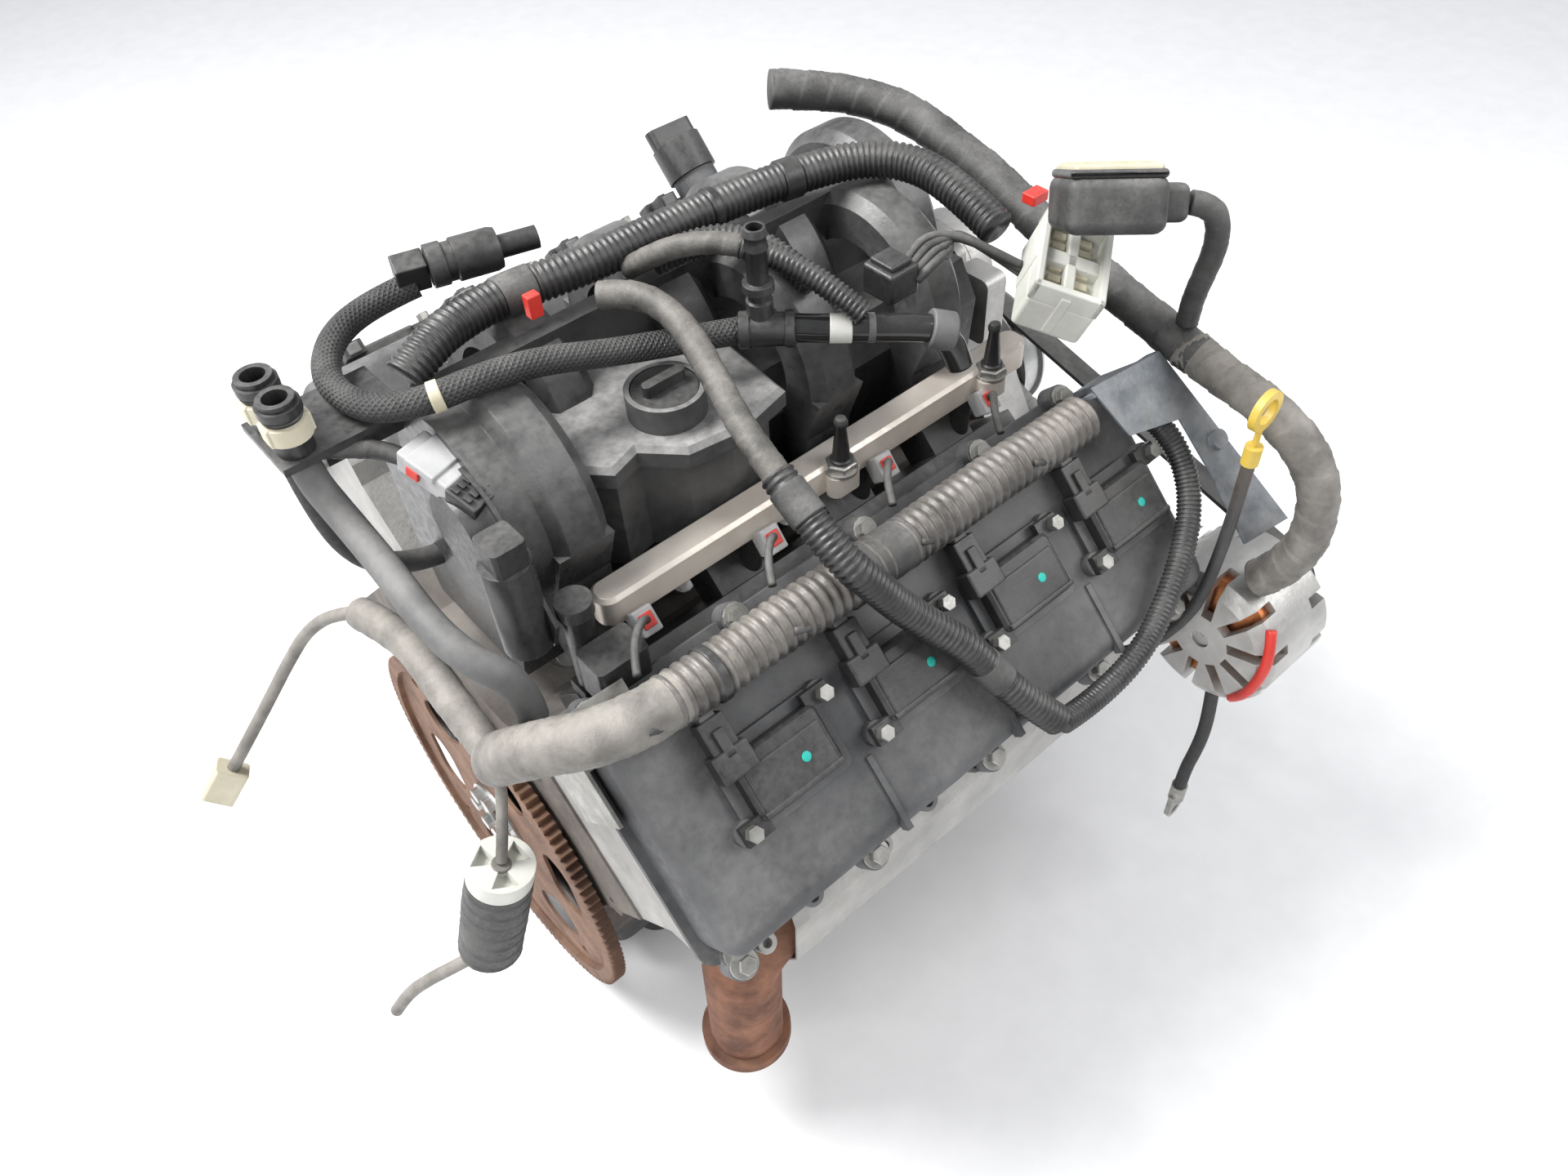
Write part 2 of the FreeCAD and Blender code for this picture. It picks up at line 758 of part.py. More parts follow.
def lug_places():
    """Open lugs for harness clips along the outboard edge."""
    return [x - 10 for x in cylinder_x[:2]] + [cylinder_x[1] + 40]


def cover_lugs():
    lugs = []
    for x in lug_places():
        lugs.append(Part.makeCylinder(9, 8, Vec(x, -cover_outboard - 3, cover_flange_u)))
    return lugs


def cover_lug_holes():
    return [Part.makeCylinder(4, 12, Vec(x, -cover_outboard - 5, cover_flange_u - 2)) for x in lug_places()]


def make_cover_bolts(side):
    bolts = []
    for x in cover_bolt_x():
        for w in (-cover_outboard + 3, cover_inboard - 3):
            bolts.append(hex_bolt((x, w, cover_boss_top_u), (0, 0, 1)))
    for x in cylinder_x:
        for sx in (-1, 1):
            bolts.append(hex_bolt((x + sx * 45, coil_shift + sx * 23.3, coil_ear_top_u), (0, 0, 1), 10, 7, False))
    return [on_bank(b, side) for b in bolts]


coil_ear_top_u = cover_top_u + 14.0


def make_coil(x, side):
    """A pencil coil's head: a soft edged box with two ears and its plug socket at the rear inboard corner."""
    y = coil_shift
    foot = cover_top_u + 5
    body = rounded_box(x - coil_length / 2, x + coil_length / 2, y - coil_width / 2, y + coil_width / 2, foot, coil_top_u, 6)
    top = edges_at(body, lambda e: e.BoundBox.ZMin > coil_top_u - 0.01)
    body = body.makeChamfer(2.5, top)
    pieces = [body]
    for sx in (-1, 1):
        ear_y = y + sx * 23.3
        pieces.append(box(min(x + sx * 30, x + sx * 51), max(x + sx * 30, x + sx * 51), ear_y - 7, ear_y + 7,
                          coil_ear_top_u - 6, coil_ear_top_u))
    plug_x = x - coil_length / 2 + coil_plug_offset
    lead = box(plug_x - 8, plug_x + 8, y + coil_width / 2 - 1, y + coil_width / 2 + 5, foot + 1, coil_top_u - 3)
    pieces.append(lead)
    return on_bank(fused(pieces), side)


coil_plug_offset = 3.0


def make_coil_plug(x, side):
    """The wire connector pushed onto a coil's socket, pointing inboard."""
    plug_x = x - coil_length / 2 + coil_plug_offset
    end = coil_shift + coil_width / 2 + 5
    shell = rounded_box(plug_x - 11, plug_x + 11, end, end + 27, cover_top_u + 5.3, coil_top_u + 2, 3, Y_AXIS)
    latch = box(plug_x - 5, plug_x + 5, end + 4, end + 18, coil_top_u + 1, coil_top_u + 6)
    return on_bank(fused([shell, latch]), side)


# ---- intake and fuel ----
def runner_leg():
    """The (y, z) outline of a runner's leg, from the arch down to its port on the right bank."""
    y0 = -runner_centre_y
    z0 = runner_centre_z
    port_high = bank_point(0, deck_inner, port_high_u)[1:]
    port_low = bank_point(0, deck_inner, port_low_u)[1:]
    return [
        (y0 - runner_outer, z0),
        (y0 - runner_outer + 16, z0 - 42),
        (y0 - runner_outer + 15, z0 - 78),
        port_high,
        port_low,
        (y0 - runner_inner + 13, z0 - 100),
        (y0 - runner_inner + 16, z0 - 52),
        (y0 - runner_inner, z0),
    ]


runner_shift = {"right": -20.0, "left": 14.0}


def runner_x(side):
    shift = bank_stagger if side == "left" else 0.0
    return [x + shift + runner_shift[side] for x in cylinder_x]


def make_runner(x, side):
    """An arched runner: a bevelled section turned over the top, and its leg."""
    half = runner_width / 2
    z0 = runner_centre_z
    y0 = -runner_centre_y
    section = [
        (x - half, -runner_inner), (x - half, -runner_outer + runner_bevel), (x - half + runner_bevel, -runner_outer),
        (x + half - runner_bevel, -runner_outer), (x + half, -runner_outer + runner_bevel), (x + half, -runner_inner),
    ]
    face = Part.Face(polygon_wire([(px, y0 + reach, z0) for px, reach in section]))
    arch = face.revolve(Vec(0, y0, z0), X_AXIS, -180)
    leg = prism_x(runner_leg(), x - half, runner_width)
    return on_side(arch.fuse(leg).removeSplitter(), side)


def make_runner_foot(x, side):
    """The lower end of a runner whose upper part is inside the moulded shelf."""
    leg = prism_x(runner_leg(), x - runner_width / 2, runner_width)
    low = box(x - runner_width, x + runner_width, -bank_half_width, 0, valley_z, shelf_foot_z)
    return on_side(leg.common(low), side)


runner_bevel = 9.0
shelf_rear_x = 104.0
shelf_front_x = 254.0
shelf_foot_z = plenum_top_z - 64.0
bank_half_width = 300.0


def make_intake():
    plenum = [
        (-62, plenum_bottom_z),
        (62, plenum_bottom_z),
        (78, plenum_bottom_z + 60),
        (plenum_half, plenum_top_z - 30),
        (plenum_half - 18, plenum_top_z),
        (-plenum_half + 18, plenum_top_z),
        (-plenum_half, plenum_top_z - 30),
        (-78, plenum_bottom_z + 60),
    ]
    pieces = [prism_x(plenum, intake_rear_x, intake_front_x - intake_rear_x)]
    for side in SIDES:
        for x in runner_x(side):
            hidden = side == "right" and shelf_rear_x < x < shelf_front_x
            pieces.append(make_runner_foot(x, side) if hidden else make_runner(x, side))
    spine = [(-12, plenum_top_z), (-8, 462), (8, 462), (12, plenum_top_z)]
    pieces.append(prism_x(spine, intake_rear_x + 10, intake_front_x - intake_rear_x - 40))
    for side in SIDES:
        shift = bank_stagger if side == "left" else 0.0
        rail = prism_x(port_rail_outline(), cylinder_x[0] - 62 + shift, 3 * bore_spacing + 104)
        pieces.append(on_side(rail, side))
    dome_y = -runner_centre_y
    end = rod((intake_rear_x, dome_y, runner_centre_z), (runner_x("right")[0] - 10, dome_y, runner_centre_z),
              runner_outer - 8)
    pieces.append(end)
    throat = rod((intake_front_x - 1, 0, throttle_z), (throttle_face_x, 0, throttle_z), throttle_radius + 12)
    pieces.append(throat)
    body = pieces[0].fuse(pieces[1:])
    mouth = rod((intake_front_x - 60, 0, throttle_z), (throttle_face_x + 1, 0, throttle_z), throttle_radius)
    return body.cut(mouth)


def port_rail_outline():
    """The flange along a row of ports, lying on the head's inboard face."""
    corners = [(0.0, port_low_u - 6), (0.0, port_high_u + 6), (14.0, port_high_u + 4), (14.0, port_low_u - 4)]
    return [bank_point(0, deck_inner + w, u)[1:] for w, u in corners]


throttle_z = 330.0
throttle_radius = 40.0
throttle_face_x = 506.0
throttle_length = 52.0
throttle_axis_x = throttle_face_x + 22.0
duct_seat_length = 22.0
plate_clearance = 0.5


def make_throttle_body():
    start = throttle_face_x
    end = start + throttle_length
    seat = end - duct_seat_length
    barrel = rod((start, 0, throttle_z), (seat, 0, throttle_z), throttle_radius + 5.5)
    barrel = barrel.fuse(rod((seat, 0, throttle_z), (end, 0, throttle_z), throttle_radius + 6))
    flange = rounded_box(start, start + 10, -50, 50, throttle_z - 50, throttle_z + 50, 10, X_AXIS)
    motor = rounded_box(start + 6, seat - 1, -80, -40, throttle_z - 34, throttle_z + 30, 8, X_AXIS)
    body = barrel.fuse([flange, motor])
    bore = rod((start - 1, 0, throttle_z), (end + 1, 0, throttle_z), throttle_radius)
    shaft = rod((throttle_axis_x, -60, throttle_z), (throttle_axis_x, 60, throttle_z), 5 + shaft_clearance)
    return body.cut([bore, shaft]).removeSplitter()


def make_throttle_plate():
    """The round plate stands across the bore when shut, on its shaft."""
    reach = throttle_radius - plate_clearance
    plate = rod((throttle_axis_x - 1.2, 0, throttle_z), (throttle_axis_x + 1.2, 0, throttle_z), reach)
    shaft = rod((throttle_axis_x, -58, throttle_z), (throttle_axis_x, throttle_radius + 5, throttle_z), 5)
    return plate.fuse(shaft).removeSplitter()


neck_x = 176.0
neck_y = -86.0
neck_top_z = 440.0
neck_radius = 28.0


def make_plenum_cover():
    """The moulded shell over the rear right runners, with a wavy front step and a neck for its cap."""
    shelf = [(102, -6), (106, -20), (90, -88), (112, -112), (136, -104), (160, -130), (200, -136), (250, -124),
             (256, -60), (256, -6)]
    top = prism_z(shelf, shelf_top_z - 16, 16)
    rim = edges_at(top, lambda e: e.BoundBox.ZMin > shelf_top_z - 0.01)
    top = top.makeChamfer(4, rim)
    skirt = [(106, -8), (108, -50), (100, -86), (116, -104), (140, -98), (166, -116), (204, -118), (244, -110),
             (252, -56), (252, -8)]
    body = prism_z(skirt, shelf_foot_z, shelf_top_z - 16 - shelf_foot_z)
    neck = rod((neck_x, neck_y, shelf_top_z - 20), (neck_x, neck_y, neck_top_z), neck_radius)
    shell = top.fuse([body, neck])
    recess = rod((neck_x, neck_y, neck_top_z - 9), (neck_x, neck_y, neck_top_z + 1), neck_radius - 4)
    return shell.cut(recess).removeSplitter()


def make_plenum_cap():
    base = neck_top_z - 9 + 0.3
    disc = rod((neck_x, neck_y, base), (neck_x, neck_y, base + 8), neck_radius - 4.6)
    bar = rounded_box(neck_x - 17, neck_x + 17, neck_y - 4, neck_y + 4, base + 7, base + 17, 3.5)
    return disc.fuse(bar).removeSplitter()


def make_fuel_rail():
    """A pressed rail with round ends and a flat top, seated on its injectors."""
    x1 = rail_rear_x + rail_length
    y0 = -rail_y - rail_width / 2
    y1 = -rail_y + rail_width / 2
    z0 = rail_z - rail_height / 2
    z1 = rail_z + rail_height / 2
    rail = rounded_box(rail_rear_x, x1, y0, y1, z0, z1, rail_width / 2 - 1)
    rim = edges_at(rail, lambda e: e.BoundBox.ZMin > z1 - 0.01)
    rail = rail.makeChamfer(3, rim)
    pieces = [rail]
    for x in stud_x:
        pieces.append(rounded_box(x - 14, x + 14, y0 - 13, y0 + 2, z0, z1 - 6, 7))
    return fused(pieces)


stud_x = (278.0, 440.0)
stud_height = 46.0


def stud_y():
    return -rail_y - rail_width / 2 - 4


def make_stud(x):
    """A hexagon based stud with a dark tapered sleeve."""
    z0 = rail_z + rail_height / 2 - 6
    y = stud_y()
    base = regular((x, y, z0), (x, y, z0 + 8), 20)
    sleeve = cone((x, y, z0 + 7), (x, y, z0 + stud_height), 6.5, 3.5)
    return fused([base, sleeve])


def make_injector(x):
    """An injector from the rail down into the port rail."""
    tip = bank_point(x, deck_inner + 13, port_high_u - 16)
    top = (x, -rail_y, rail_z - rail_height / 2)
    way = (Vec(*top) - Vec(*tip)).normalize()
    body = rod(tip, Vec(*top) - way * 6, injector_radius)
    neck = rod(Vec(*top) - way * 8, Vec(*top) + Vec(0, 0, 0), injector_radius - 2)
    return body.fuse(neck).removeSplitter()


# ---- exhaust ----
collector_w = -134.0
collector_u = 262.0
collector_radius = 24.0
elbow_radius = 31.0
port_u = deck_height + 33.0


def make_exhaust():
    """A cast log: four short branches into a collector that turns down at the rear."""
    pieces = []
    face = -deck_outer - 6
    for x in cylinder_x:
        flange = box(x - 27, x + 27, face - 9, face, port_u - 21, port_u + 21)
        branch = rod((x, face - 8, port_u), (x, collector_w, collector_u), 18)
        pieces.append(on_bank(flange, "right"))
        pieces.append(on_bank(branch, "right"))
    front = bank_point(cylinder_x[3] + 12, collector_w, collector_u)
    middle = bank_point(cylinder_x[1] - 30, collector_w, collector_u)
    bend = bank_point(elbow_x + 2.6 * elbow_radius, collector_w, collector_u)
    pieces.append(rod(front, middle, collector_radius))
    pieces.append(cone(middle, bend, collector_radius, elbow_radius))
    outlet = (elbow_x, bend[1] + 10, outlet_z)
    pieces.append(tube("exhaust elbow", [bend, (elbow_x, bend[1], bend[2]), outlet], elbow_radius))
    pieces.append(rod(outlet, (outlet[0], outlet[1], outlet[2] + 12), elbow_radius + 7))
    body = pieces[0].fuse(pieces[1:])
    hole = rod((outlet[0], outlet[1], outlet[2] - 1), (outlet[0], outlet[1], outlet[2] + 40), outlet_bore)
    reach = 2 * elbow_radius
    below = box(outlet[0] - reach, outlet[0] + reach, outlet[1] - reach, outlet[1] + reach, outlet_z - 10, outlet_z)
    return body.cut([hole, below]).removeSplitter()


elbow_x = 48.0
outlet_z = -82.0
outlet_bore = 24.0


def make_heat_shield():
    """A pressed sheet from the cover's edge out over the collector."""
    sheet = 1.6
    line = [(-101.0, cover_flange_u - 12), (-128.0, cover_flange_u - 26), (-164.0, collector_u + 22), (-172.0, collector_u - 24)]
    back = [(w + 1.4, u - sheet) for w, u in reversed(line)]
    panel = prism_x(line + back, cylinder_x[0] - 22, 3 * bore_spacing + 30)
    ears = []
    for x in (cylinder_x[0] + 56, cylinder_x[2] + 40):
        ears.append(box(x - 11, x + 11, -101.5, -cover_outboard + 3, cover_flange_u - 14, cover_flange_u - 11))
    return on_bank(fused([panel] + ears), "right")


# ---- front of the engine ----
pump_z = 200.0
pump_pulley_radius = 62.0
idler_y = 88.0
idler_z = 112.0
tensioner_y = -180.0
tensioner_z = 5.0
tensioner_pivot_y = -92.0
tensioner_pivot_z = -22.0
small_pulley_radius = 36.0
alternator_pulley_radius = 28.0
pulley_width = 28.0
cover_wall = 4.0


def timing_outline(shrink=0.0):
    half = [(100, -68), (112, 40), (96, 190), (60, 252)]
    right = [(y - shrink, z + (shrink if z < 0 else -shrink if z > 200 else 0)) for y, z in half]
    return right + [(-y, z) for y, z in reversed(right)]


def make_timing_cover():
    depth = timing_cover_front - front_face_x
    cover = prism_x(timing_outline(), front_face_x, depth)
    inner = timing_outline(cover_wall + 2)
    room = prism_x(inner, front_face_x + cover_wall, depth - 2 * cover_wall)
    low = prism_x([(y, min(z, valley_z - 6)) for y, z in inner], front_face_x - 1, cover_wall + 2)
    cover = cover.cut([room, low])
    bosses = []
    for y, z, radius in ((idler_y, idler_z, 15), (tensioner_pivot_y, tensioner_pivot_z, 17)):
        bosses.append(rod((timing_cover_front - cover_wall, y, z), (timing_cover_front + 6, y, z), radius))
    cover = cover.fuse(bosses)
    seal = rod((front_face_x, 0, 0), (timing_cover_front + 1, 0, 0), snout_radius + seal_clearance)
    pins = []
    for y, z in ((idler_y, idler_z), (tensioner_pivot_y, tensioner_pivot_z)):
        pins.append(rod((timing_cover_front - 1, y, z), (timing_cover_front + 7, y, z), 6))
    return cover.cut([seal] + pins).removeSplitter()


def make_front_pins():
    """The shoulder pins that carry the idler and the tensioner arm."""
    pins = []
    pins.append(rod((timing_cover_front - 1, idler_y, idler_z), (belt_x + 16, idler_y, idler_z), 6))
    pins.append(rod(
        (timing_cover_front - 1, tensioner_pivot_y, tensioner_pivot_z),
        (timing_cover_front + 24, tensioner_pivot_y, tensioner_pivot_z), 6))
    return pins


def pulley(y, z, radius, bore, flanged=True):
    x0 = belt_x - pulley_width / 2
    x1 = belt_x + pulley_width / 2
    wheel = rod((x0, y, z), (x1, y, z), radius)
    if flanged:
        wheel = wheel.fuse([rod((x0, y, z), (x0 + 2.4, y, z), radius + 3.5), rod((x1 - 2.4, y, z), (x1, y, z), radius + 3.5)])
    if radius > 50:
        dish = rod((x1 - 14, y, z), (x1 + 1, y, z), radius - 8)
        wheel = wheel.cut(dish)
    if bore > 0:
        wheel = wheel.cut(rod((x0 - 1, y, z), (x1 + 1, y, z), bore))
    return wheel.removeSplitter()


def make_damper():
    wheel = pulley(0, 0, damper_radius, 0)
    hub = rod((timing_cover_front + 2, 0, 0), (belt_x + 10, 0, 0), snout_radius + 10)
    wheel = wheel.fuse(hub).cut(rod((timing_cover_front, 0, 0), (belt_x + 20, 0, 0), snout_radius))
    bolt = hex_bolt((snout_end_x, 0, 0), (1, 0, 0), 28, 12)
    slots = []
    for k in range(3):
        slot = rod((belt_x - 20, 0, 52), (belt_x + 20, 0, 52), 11)
        slot.rotate(ORIGIN, X_AXIS, 120.0 * k)
        slots.append(slot)
    return [wheel.cut(slots).removeSplitter(), bolt]


def make_pump_housing():
    start = timing_cover_front
    body = rod((start, 0, pump_z), (start + 20, 0, pump_z), 44)
    volute = prism_x([(-70, pump_z - 50), (20, pump_z - 60), (60, pump_z + 10), (10, pump_z + 46), (-60, pump_z + 30)],
                     start, 14)
    x = start + pump_outlet_radius + hose_wall
    outlet = spigot((x, -36, pump_z + 8), (x, -104, pump_z - 24), pump_outlet_radius, hose_seat_length)
    neck = spigot((x, 30, pump_z), (x, 100, pump_z + 30), pump_outlet_radius, hose_seat_length)
    body = body.fuse([volute, outlet, neck])
    return body.cut(rod((start - 1, 0, pump_z), (start + 21, 0, pump_z), 8 + shaft_clearance)).removeSplitter()


def spigot(start, end, radius, seat_length):
    """A hose end: a smooth seat of radius on a slightly thinner root."""
    start = Vec(*start)
    end = Vec(*end)
    way = (end - start).normalize()
    shoulder = end - way * seat_length
    return rod(start, shoulder, radius - spigot_step).fuse(rod(shoulder, end, radius)).removeSplitter()


spigot_step = 1.0
pump_outlet_radius = 11.0
hose_wall = 2.0
hose_seat_length = 28.0


def make_pump_pulley():
    wheel = pulley(0, pump_z, pump_pulley_radius, 0)
    shaft = rod((timing_cover_front + 2, 0, pump_z), (belt_x + 4, 0, pump_z), 8)
    return wheel.fuse(shaft).removeSplitter()


def make_idler():
    return pulley(idler_y, idler_z, small_pulley_radius, 6 + shaft_clearance, False)


def make_tensioner_arm():
    x0 = timing_cover_front + 6.4
    x1 = x0 + 10
    pivot = rod((x0, tensioner_pivot_y, tensioner_pivot_z), (x1, tensioner_pivot_y, tensioner_pivot_z), 18)
    end = rod((x0, tensioner_y, tensioner_z), (x1, tensioner_y, tensioner_z), 14)
    way = Vec(0, tensioner_y - tensioner_pivot_y, tensioner_z - tensioner_pivot_z)
    across = Vec(0, -way.z, way.y).normalize()
    a = Vec(0, tensioner_pivot_y, tensioner_pivot_z)
    b = Vec(0, tensioner_y, tensioner_z)
    corners = [a + across * 16, b + across * 12, b - across * 12, a - across * 16]
    web = prism_x([(p.y, p.z) for p in corners], x0, x1 - x0)
    pin = rod((x1 - 1, tensioner_y, tensioner_z), (belt_x + 16, tensioner_y, tensioner_z), 7)
    arm = pivot.fuse([end, web, pin])
    hole = rod((x0 - 1, tensioner_pivot_y, tensioner_pivot_z), (x1 + 1, tensioner_pivot_y, tensioner_pivot_z),
               6 + shaft_clearance)
    return arm.cut(hole).removeSplitter()


def make_tensioner_pulley():
    return pulley(tensioner_y, tensioner_z, small_pulley_radius, 7 + shaft_clearance, False)


def belt_wheels():
    return [
        (0, 0, damper_radius, 1),
        (idler_y, idler_z, small_pulley_radius, 1),
        (0, pump_z, pump_pulley_radius, 1),
        (alternator_y, alternator_z, alternator_pulley_radius, 1),
        (tensioner_y, tensioner_z, small_pulley_radius, -1),
    ]


def make_belt():
    return closed_band(belt_wheels(), belt_clearance, belt_thickness, belt_x - belt_width / 2, belt_width)


alternator_rear_x = 502.0
alternator_front_x = 592.0


def make_alternator_housing():
    """Two slotted end bells round a stator."""
    y = alternator_y
    z = alternator_z
    x0 = alternator_rear_x
    x1 = alternator_front_x
    body = rod((x0 + 8, y, z), (x1 - 8, y, z), alternator_radius)
    body = body.fuse([
        cone((x0 + 8, y, z), (x0, y, z), alternator_radius, alternator_radius - 12),
        cone((x1 - 8, y, z), (x1, y, z), alternator_radius, alternator_radius - 12),
    ])
    cuts = [rod((x0 + 10, y, z), (x1 - 10, y, z), alternator_radius - 14)]
    cuts.append(rod((x0 - 1, y, z), (x1 + 1, y, z), 8 + shaft_clearance))
    for k in range(10):
        slot = box(x0 - 1, x0 + 26, y - 5, y + 5, z + 26, z + alternator_radius + 2)
        slot.rotate(Vec(0, y, z), X_AXIS, 36.0 * k)
        cuts.append(slot)
        front = box(x1 - 26, x1 + 1, y - 5, y + 5, z + 26, z + alternator_radius + 2)
        front.rotate(Vec(0, y, z), X_AXIS, 36.0 * k + 18)
        cuts.append(front)
    body = body.cut(cuts)
    ears = []
    for ey, ez in ((y + 58, z + 44), (y + 62, z - 30)):
        ears.append(rod((x0 + 26, ey, ez), (x0 + 46, ey, ez), 13))
    body = body.fuse(ears)
    return body.removeSplitter()


def make_alternator_rotor():
    y = alternator_y
    z = alternator_z
    shaft = rod((alternator_rear_x + 2, y, z), (belt_x + 14, y, z), 8)
    claws = []
    for k in range(8):
        angle = math.pi * k / 4
        radius = alternator_radius - 16
        claws.append((y + radius * math.cos(angle), z + radius * math.sin(angle)))
    drum = prism_x(claws, alternator_rear_x + 22, 42)
    wheel = pulley(y, z, alternator_pulley_radius, 0, False)
    return shaft.fuse([drum, wheel]).removeSplitter()


def make_alternator_bracket():
    """The plate from the timing cover out to the alternator's ears."""
    y = alternator_y
    z = alternator_z
    x0 = alternator_rear_x + 46.3
    outline = [(-94, 20), (-106, 110), (y + 52, z + 58), (y + 72, z + 44), (y + 76, z - 34), (y + 54, z - 42)]
    plate = prism_x(outline, x0, 12)
    clear = rod((x0 - 1, y, z), (x0 + 13, y, z), alternator_radius + 0.6)
    return plate.cut(clear)


filter_x = 438.0


def make_oil_filter():
    y = -172.0
    z = -38.0
    x = filter_x
    can = rod((x, y + 26, z + 30), (x, y - 34, z - 30), 38)
    neck = rod((x, y + 48, z + 52), (x, y + 24, z + 28), 24)
    return can.fuse(neck).removeSplitter()


# ---- rear of the crank ----
def make_flexplate():
    """A pressed drive plate with large windows and a toothed ring shrunk onto its rim."""
    x1 = -crank_flange_thickness
    x0 = x1 - flexplate_thickness
    plate = rod((x0, 0, 0), (x1, 0, 0), flexplate_radius)
    cuts = []
    for k in range(6):
        window = rounded_box(x0 - 1, x1 + 1, -34, 34, 84, 128, 20, X_AXIS)
        window.rotate(ORIGIN, X_AXIS, 60.0 * k + 20)
        cuts.append(window)
    cuts.append(rod((x0 - 1, 0, 0), (x1 + 1, 0, 0), pilot_radius))
    for k in range(4):
        cuts.append(turned_hole(x0, x1, converter_bolt_circle, converter_hole_radius, 90.0 * k + 45))
    plate = plate.cut(cuts)
    ring = prism_x(gear_outline(), x0 - 5, ring_gear_width)
    ring = ring.cut(rod((x0 - 6, 0, 0), (x0 + ring_gear_width, 0, 0), flexplate_radius - 4))
    return plate.fuse(ring).removeSplitter()


converter_bolt_circle = 147.0
converter_hole_radius = 5.5
flange_bolt_circle = 31.0


def turned_hole(x0, x1, out, radius, angle):
    hole = rod((x0 - 1, 0, out), (x1 + 1, 0, out), radius)
    hole.rotate(ORIGIN, X_AXIS, angle)
    return hole


def gear_outline():
    """A pointed tooth for every pitch of the ring gear."""
    outline = []
    for k in range(2 * ring_gear_teeth):
        angle = math.pi * k / ring_gear_teeth
        radius = ring_gear_radius if k % 2 else ring_gear_radius - 6.0
        outline.append((radius * math.sin(angle), radius * math.cos(angle)))
    return outline


def make_flexplate_bolts():
    foot = -crank_flange_thickness - flexplate_thickness
    spacer = rod((foot - 3, 0, 0), (foot, 0, 0), crank_flange_radius - 1)
    spacer = spacer.cut(rod((foot - 4, 0, 0), (foot + 1, 0, 0), pilot_radius))
    bolts = [spacer]
    for k in range(8):
        angle = 2 * math.pi * k / 8
        y = flange_bolt_circle * math.sin(angle)
        z = flange_bolt_circle * math.cos(angle)
        bolts.append(regular((foot - 3, y, z), (foot - 10, y, z), 15))
    return bolts


# ---- caps, dipstick and pipes ----
fill_x = 440.0
fill_inboard = 60.0
fill_neck_radius = 22.0
fill_neck_u = cover_top_u + 24.0


def make_fill_neck(side):
    neck = Part.makeCylinder(fill_neck_radius, 26, Vec(fill_x, fill_inboard, cover_top_u - 2))
    bore = Part.makeCylinder(fill_neck_radius - 4, 60, Vec(fill_x, fill_inboard, cover_top_u - 30))
    return on_bank(neck, side), on_bank(bore, side)


def make_oil_filler_cap():
    """A deep twist cap with a grip bar across its top and a plug in the neck."""
    foot = fill_neck_u + 0.3
    skirt = Part.makeCylinder(fill_neck_radius + 3, 34, Vec(fill_x, fill_inboard, foot))
    plug = Part.makeCylinder(fill_neck_radius - 4.5, 14, Vec(fill_x, fill_inboard, foot - 13))
    grip = rounded_box(fill_x - 25, fill_x + 25, fill_inboard - 7, fill_inboard + 7, foot + 33, foot + 52, 6)
    return on_bank(fused([skirt, plug, grip]), "left")


dipstick_x = 492.0
dipstick_y = -352.0
dipstick_top_z = 345.0
dipstick_tube_radius = 5.0


def make_dipstick_tube():
    route = [
        (dipstick_x, dipstick_y, dipstick_top_z),
        (dipstick_x, dipstick_y, 262),
        (dipstick_x, dipstick_y + 6, 180),
        (dipstick_x, dipstick_y + 40, 100),
        (dipstick_x - 2, -236, 22),
        (dipstick_x - 4, -160, -40),
        (dipstick_x - 4, -pan_rail_half + 1, -54),
    ]
    tube_solid = tube("dipstick tube", route, dipstick_tube_radius)
    bore = rod((dipstick_x, dipstick_y, dipstick_top_z - 70), (dipstick_x, dipstick_y, dipstick_top_z + 1), 3.2)
    bracket = box(dipstick_x - 4, dipstick_x + 4, dipstick_y + 2, -312, 196, 199)
    return tube_solid.cut(bore).fuse(bracket)


def make_dipstick():
    """The blade with its stopper and finger ring."""
    z = dipstick_top_z + 0.3
    blade = rod((dipstick_x, dipstick_y, z - 66), (dipstick_x, dipstick_y, z + 34), 2.4)
    stop = rod((dipstick_x, dipstick_y, z), (dipstick_x, dipstick_y, z + 16), 6.5)
    middle = Vec(dipstick_x, dipstick_y, z + 48)
    ring = rod(middle - Y_AXIS * 3, middle + Y_AXIS * 3, 16)
    ring = ring.cut(rod(middle - Y_AXIS * 4, middle + Y_AXIS * 4, 10))
    return fused([blade, stop, ring])


hose_radius = 10.5
fitting_y = -172.0


def make_heater_hose():
    route = [
        (-42, 2, 462), (-42, 2, 438), (-38, -16, 418), (-36, -66, 402), (-38, -122, 391),
        (-32, -156, 384), (-12, fitting_y, 360), (-12, fitting_y, 328),
    ]
    return tube("heater hose", route, hose_radius)


def make_heater_pipe():
    route = [(-42, 33, 462), (-42, 33, 400), (-30, 36, 330), (4, 38, 296), (31, 38, 290)]
    return tube("heater pipe", route, 8.5)


def make_hose_fitting():
    """The elbow on the rear of the right head that the heater hose pushes onto."""
    corner = Vec(-12, fitting_y, 300)
    spigot = rod((-12, fitting_y, 328), corner, 9)
    foot = rod(corner, (head_rear_x, fitting_y, 300), 10)
    return spigot.fuse([foot, Part.makeSphere(10, corner)]).removeSplitter()


